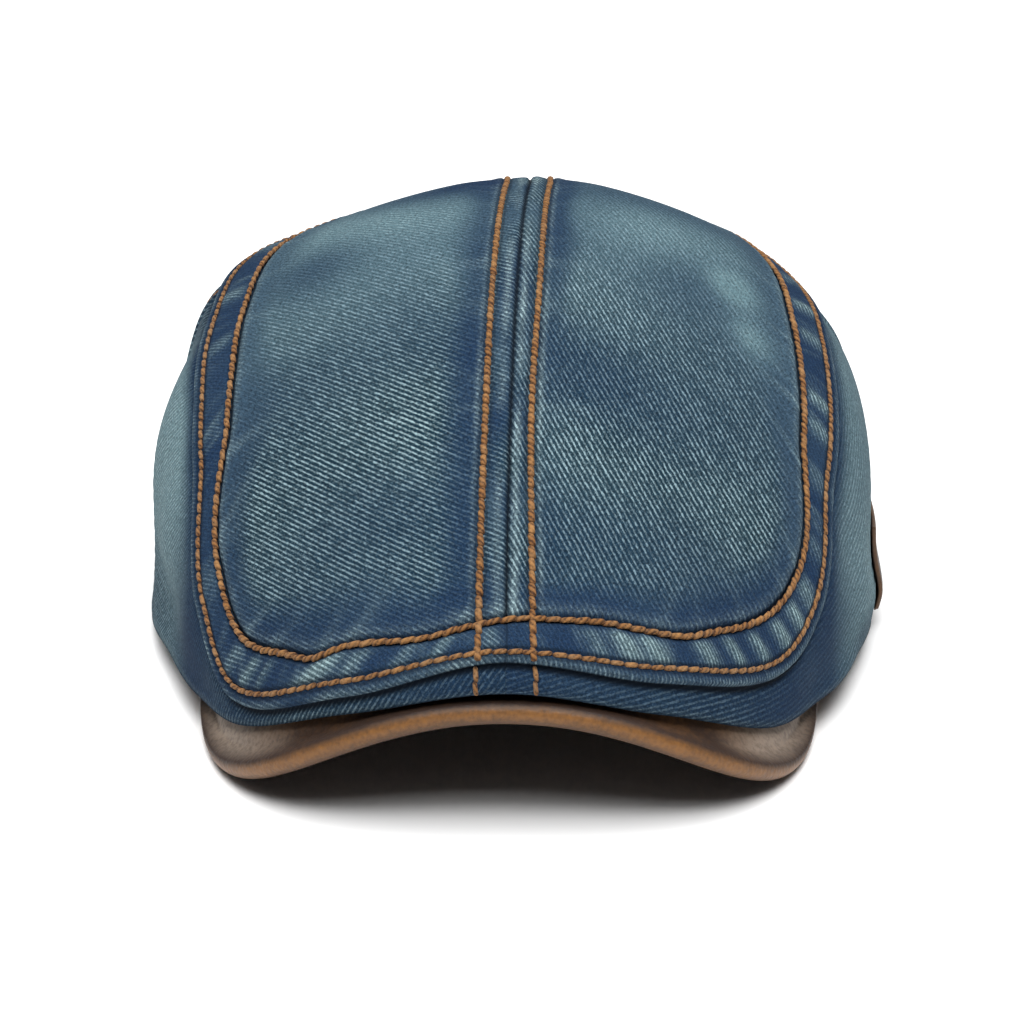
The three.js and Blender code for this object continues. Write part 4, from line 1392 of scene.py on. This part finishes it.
def studio_world(stage):
    """A white surround to look at, whose light on the cap is dim from the sides and rises
    smoothly towards straight above."""
    world = bpy.data.worlds.new("studio")
    world.use_nodes = True
    nodes, links = world.node_tree.nodes, world.node_tree.links
    direction = nodes.new("ShaderNodeTexCoord")
    height = nodes.new("ShaderNodeSeparateXYZ")
    links.new(direction.outputs["Generated"], height.inputs[0])
    rise = nodes.new("ShaderNodeMapRange")
    rise.interpolation_type = "SMOOTHSTEP"
    links.new(height.outputs["Z"], rise.inputs[0])
    for socket, value in zip(rise.inputs[1:5], (0.45, 1.0, stage.horizon, stage.zenith)):
        socket.default_value = value
    ray = nodes.new("ShaderNodeLightPath")
    seen = nodes.new("ShaderNodeMath")
    seen.operation = "MAXIMUM"
    links.new(rise.outputs[0], seen.inputs[0])
    links.new(ray.outputs["Is Camera Ray"], seen.inputs[1])
    links.new(seen.outputs[0], nodes["Background"].inputs["Strength"])
    nodes["Background"].inputs["Color"].default_value = (1, 1, 1, 1)
    return world


class CAP_OT_stage(bpy.types.Operator):
    """Floor, soft light and the camera"""

    bl_idname = "cap.stage"
    bl_label = "Stage"

    def execute(self, context):
        stage = context.scene.cap.stage
        mesh = bpy.data.meshes.new("floor")
        corners = [(x * FLOOR_HALF, y * FLOOR_HALF, 0) for x, y in ((-1, -1), (1, -1), (1, 1), (-1, 1))]
        mesh.from_pydata(corners, [], [(0, 1, 2, 3)])
        floor = bpy.data.objects.new("floor", mesh)
        context.scene.collection.objects.link(floor)
        finish = Finish("pale_floor", Base_Color=FLOOR_COLOUR, Roughness=0.85, Specular_IOR_Level=0.2)
        finish.bump(0.05, 0.0002, finish.noise(finish.place(), 300.0, 3.0))
        mesh.materials.append(finish.material)
        context.scene.world = studio_world(stage)
        for (name, place, aim, size), power in zip(SOFT_BOXES, (stage.key, stage.front)):
            soft_box(name, place, aim, size, power)
        turn, rise = np.radians(stage.turn), np.radians(stage.elevation)
        back = Vector((np.sin(turn) * np.cos(rise), -np.cos(turn) * np.cos(rise), np.sin(rise)))
        lens = bpy.data.cameras.new("camera")
        lens.lens, lens.sensor_width = stage.lens, 36.0
        camera = bpy.data.objects.new("camera", lens)
        camera.location = Vector(CAMERA_ROUND) + back * stage.distance
        look = Vector(CAMERA_AIM) - camera.location
        camera.rotation_euler = look.to_track_quat("-Z", "Y").to_euler()
        context.scene.collection.objects.link(camera)
        context.scene.camera = camera
        context.scene.view_settings.view_transform = "Standard"
        return {"FINISHED"}


STEPS = ("stage", "top_panels", "band", "walls", "leather", "topstitching")


class CAP_PT_panel(bpy.types.Panel):
    """Lists the cap's settings and pieces"""

    bl_idname = "CAP_PT_panel"
    bl_label = "Denim Cap"
    bl_space_type = "VIEW_3D"
    bl_region_type = "UI"
    bl_category = "Cap"

    def draw(self, context):
        cap = context.scene.cap
        for name in ("left_lines", "right_lines", "seed"):
            self.layout.prop(cap, name)
        for group in (cap.cloth, cap.thread, cap.leather, cap.stage):
            box = self.layout.box()
            for name in group.__annotations__:
                box.prop(group, name)
        for step in STEPS:
            self.layout.operator("cap." + step)


CLASSES = (
    CapCloth,
    CapThread,
    CapLeather,
    CapStage,
    CapSettings,
    CAP_OT_top_panels,
    CAP_OT_band,
    CAP_OT_walls,
    CAP_OT_leather,
    CAP_OT_topstitching,
    CAP_OT_stage,
    CAP_PT_panel,
)


def register():
    for made in CLASSES:
        bpy.utils.register_class(made)
    bpy.types.Scene.cap = PointerProperty(type=CapSettings)


def unregister():
    del bpy.types.Scene.cap
    for made in reversed(CLASSES):
        bpy.utils.unregister_class(made)


def main():
    register()
    for step in STEPS:
        getattr(bpy.ops.cap, step)()


if __name__ == "__main__":
    main()
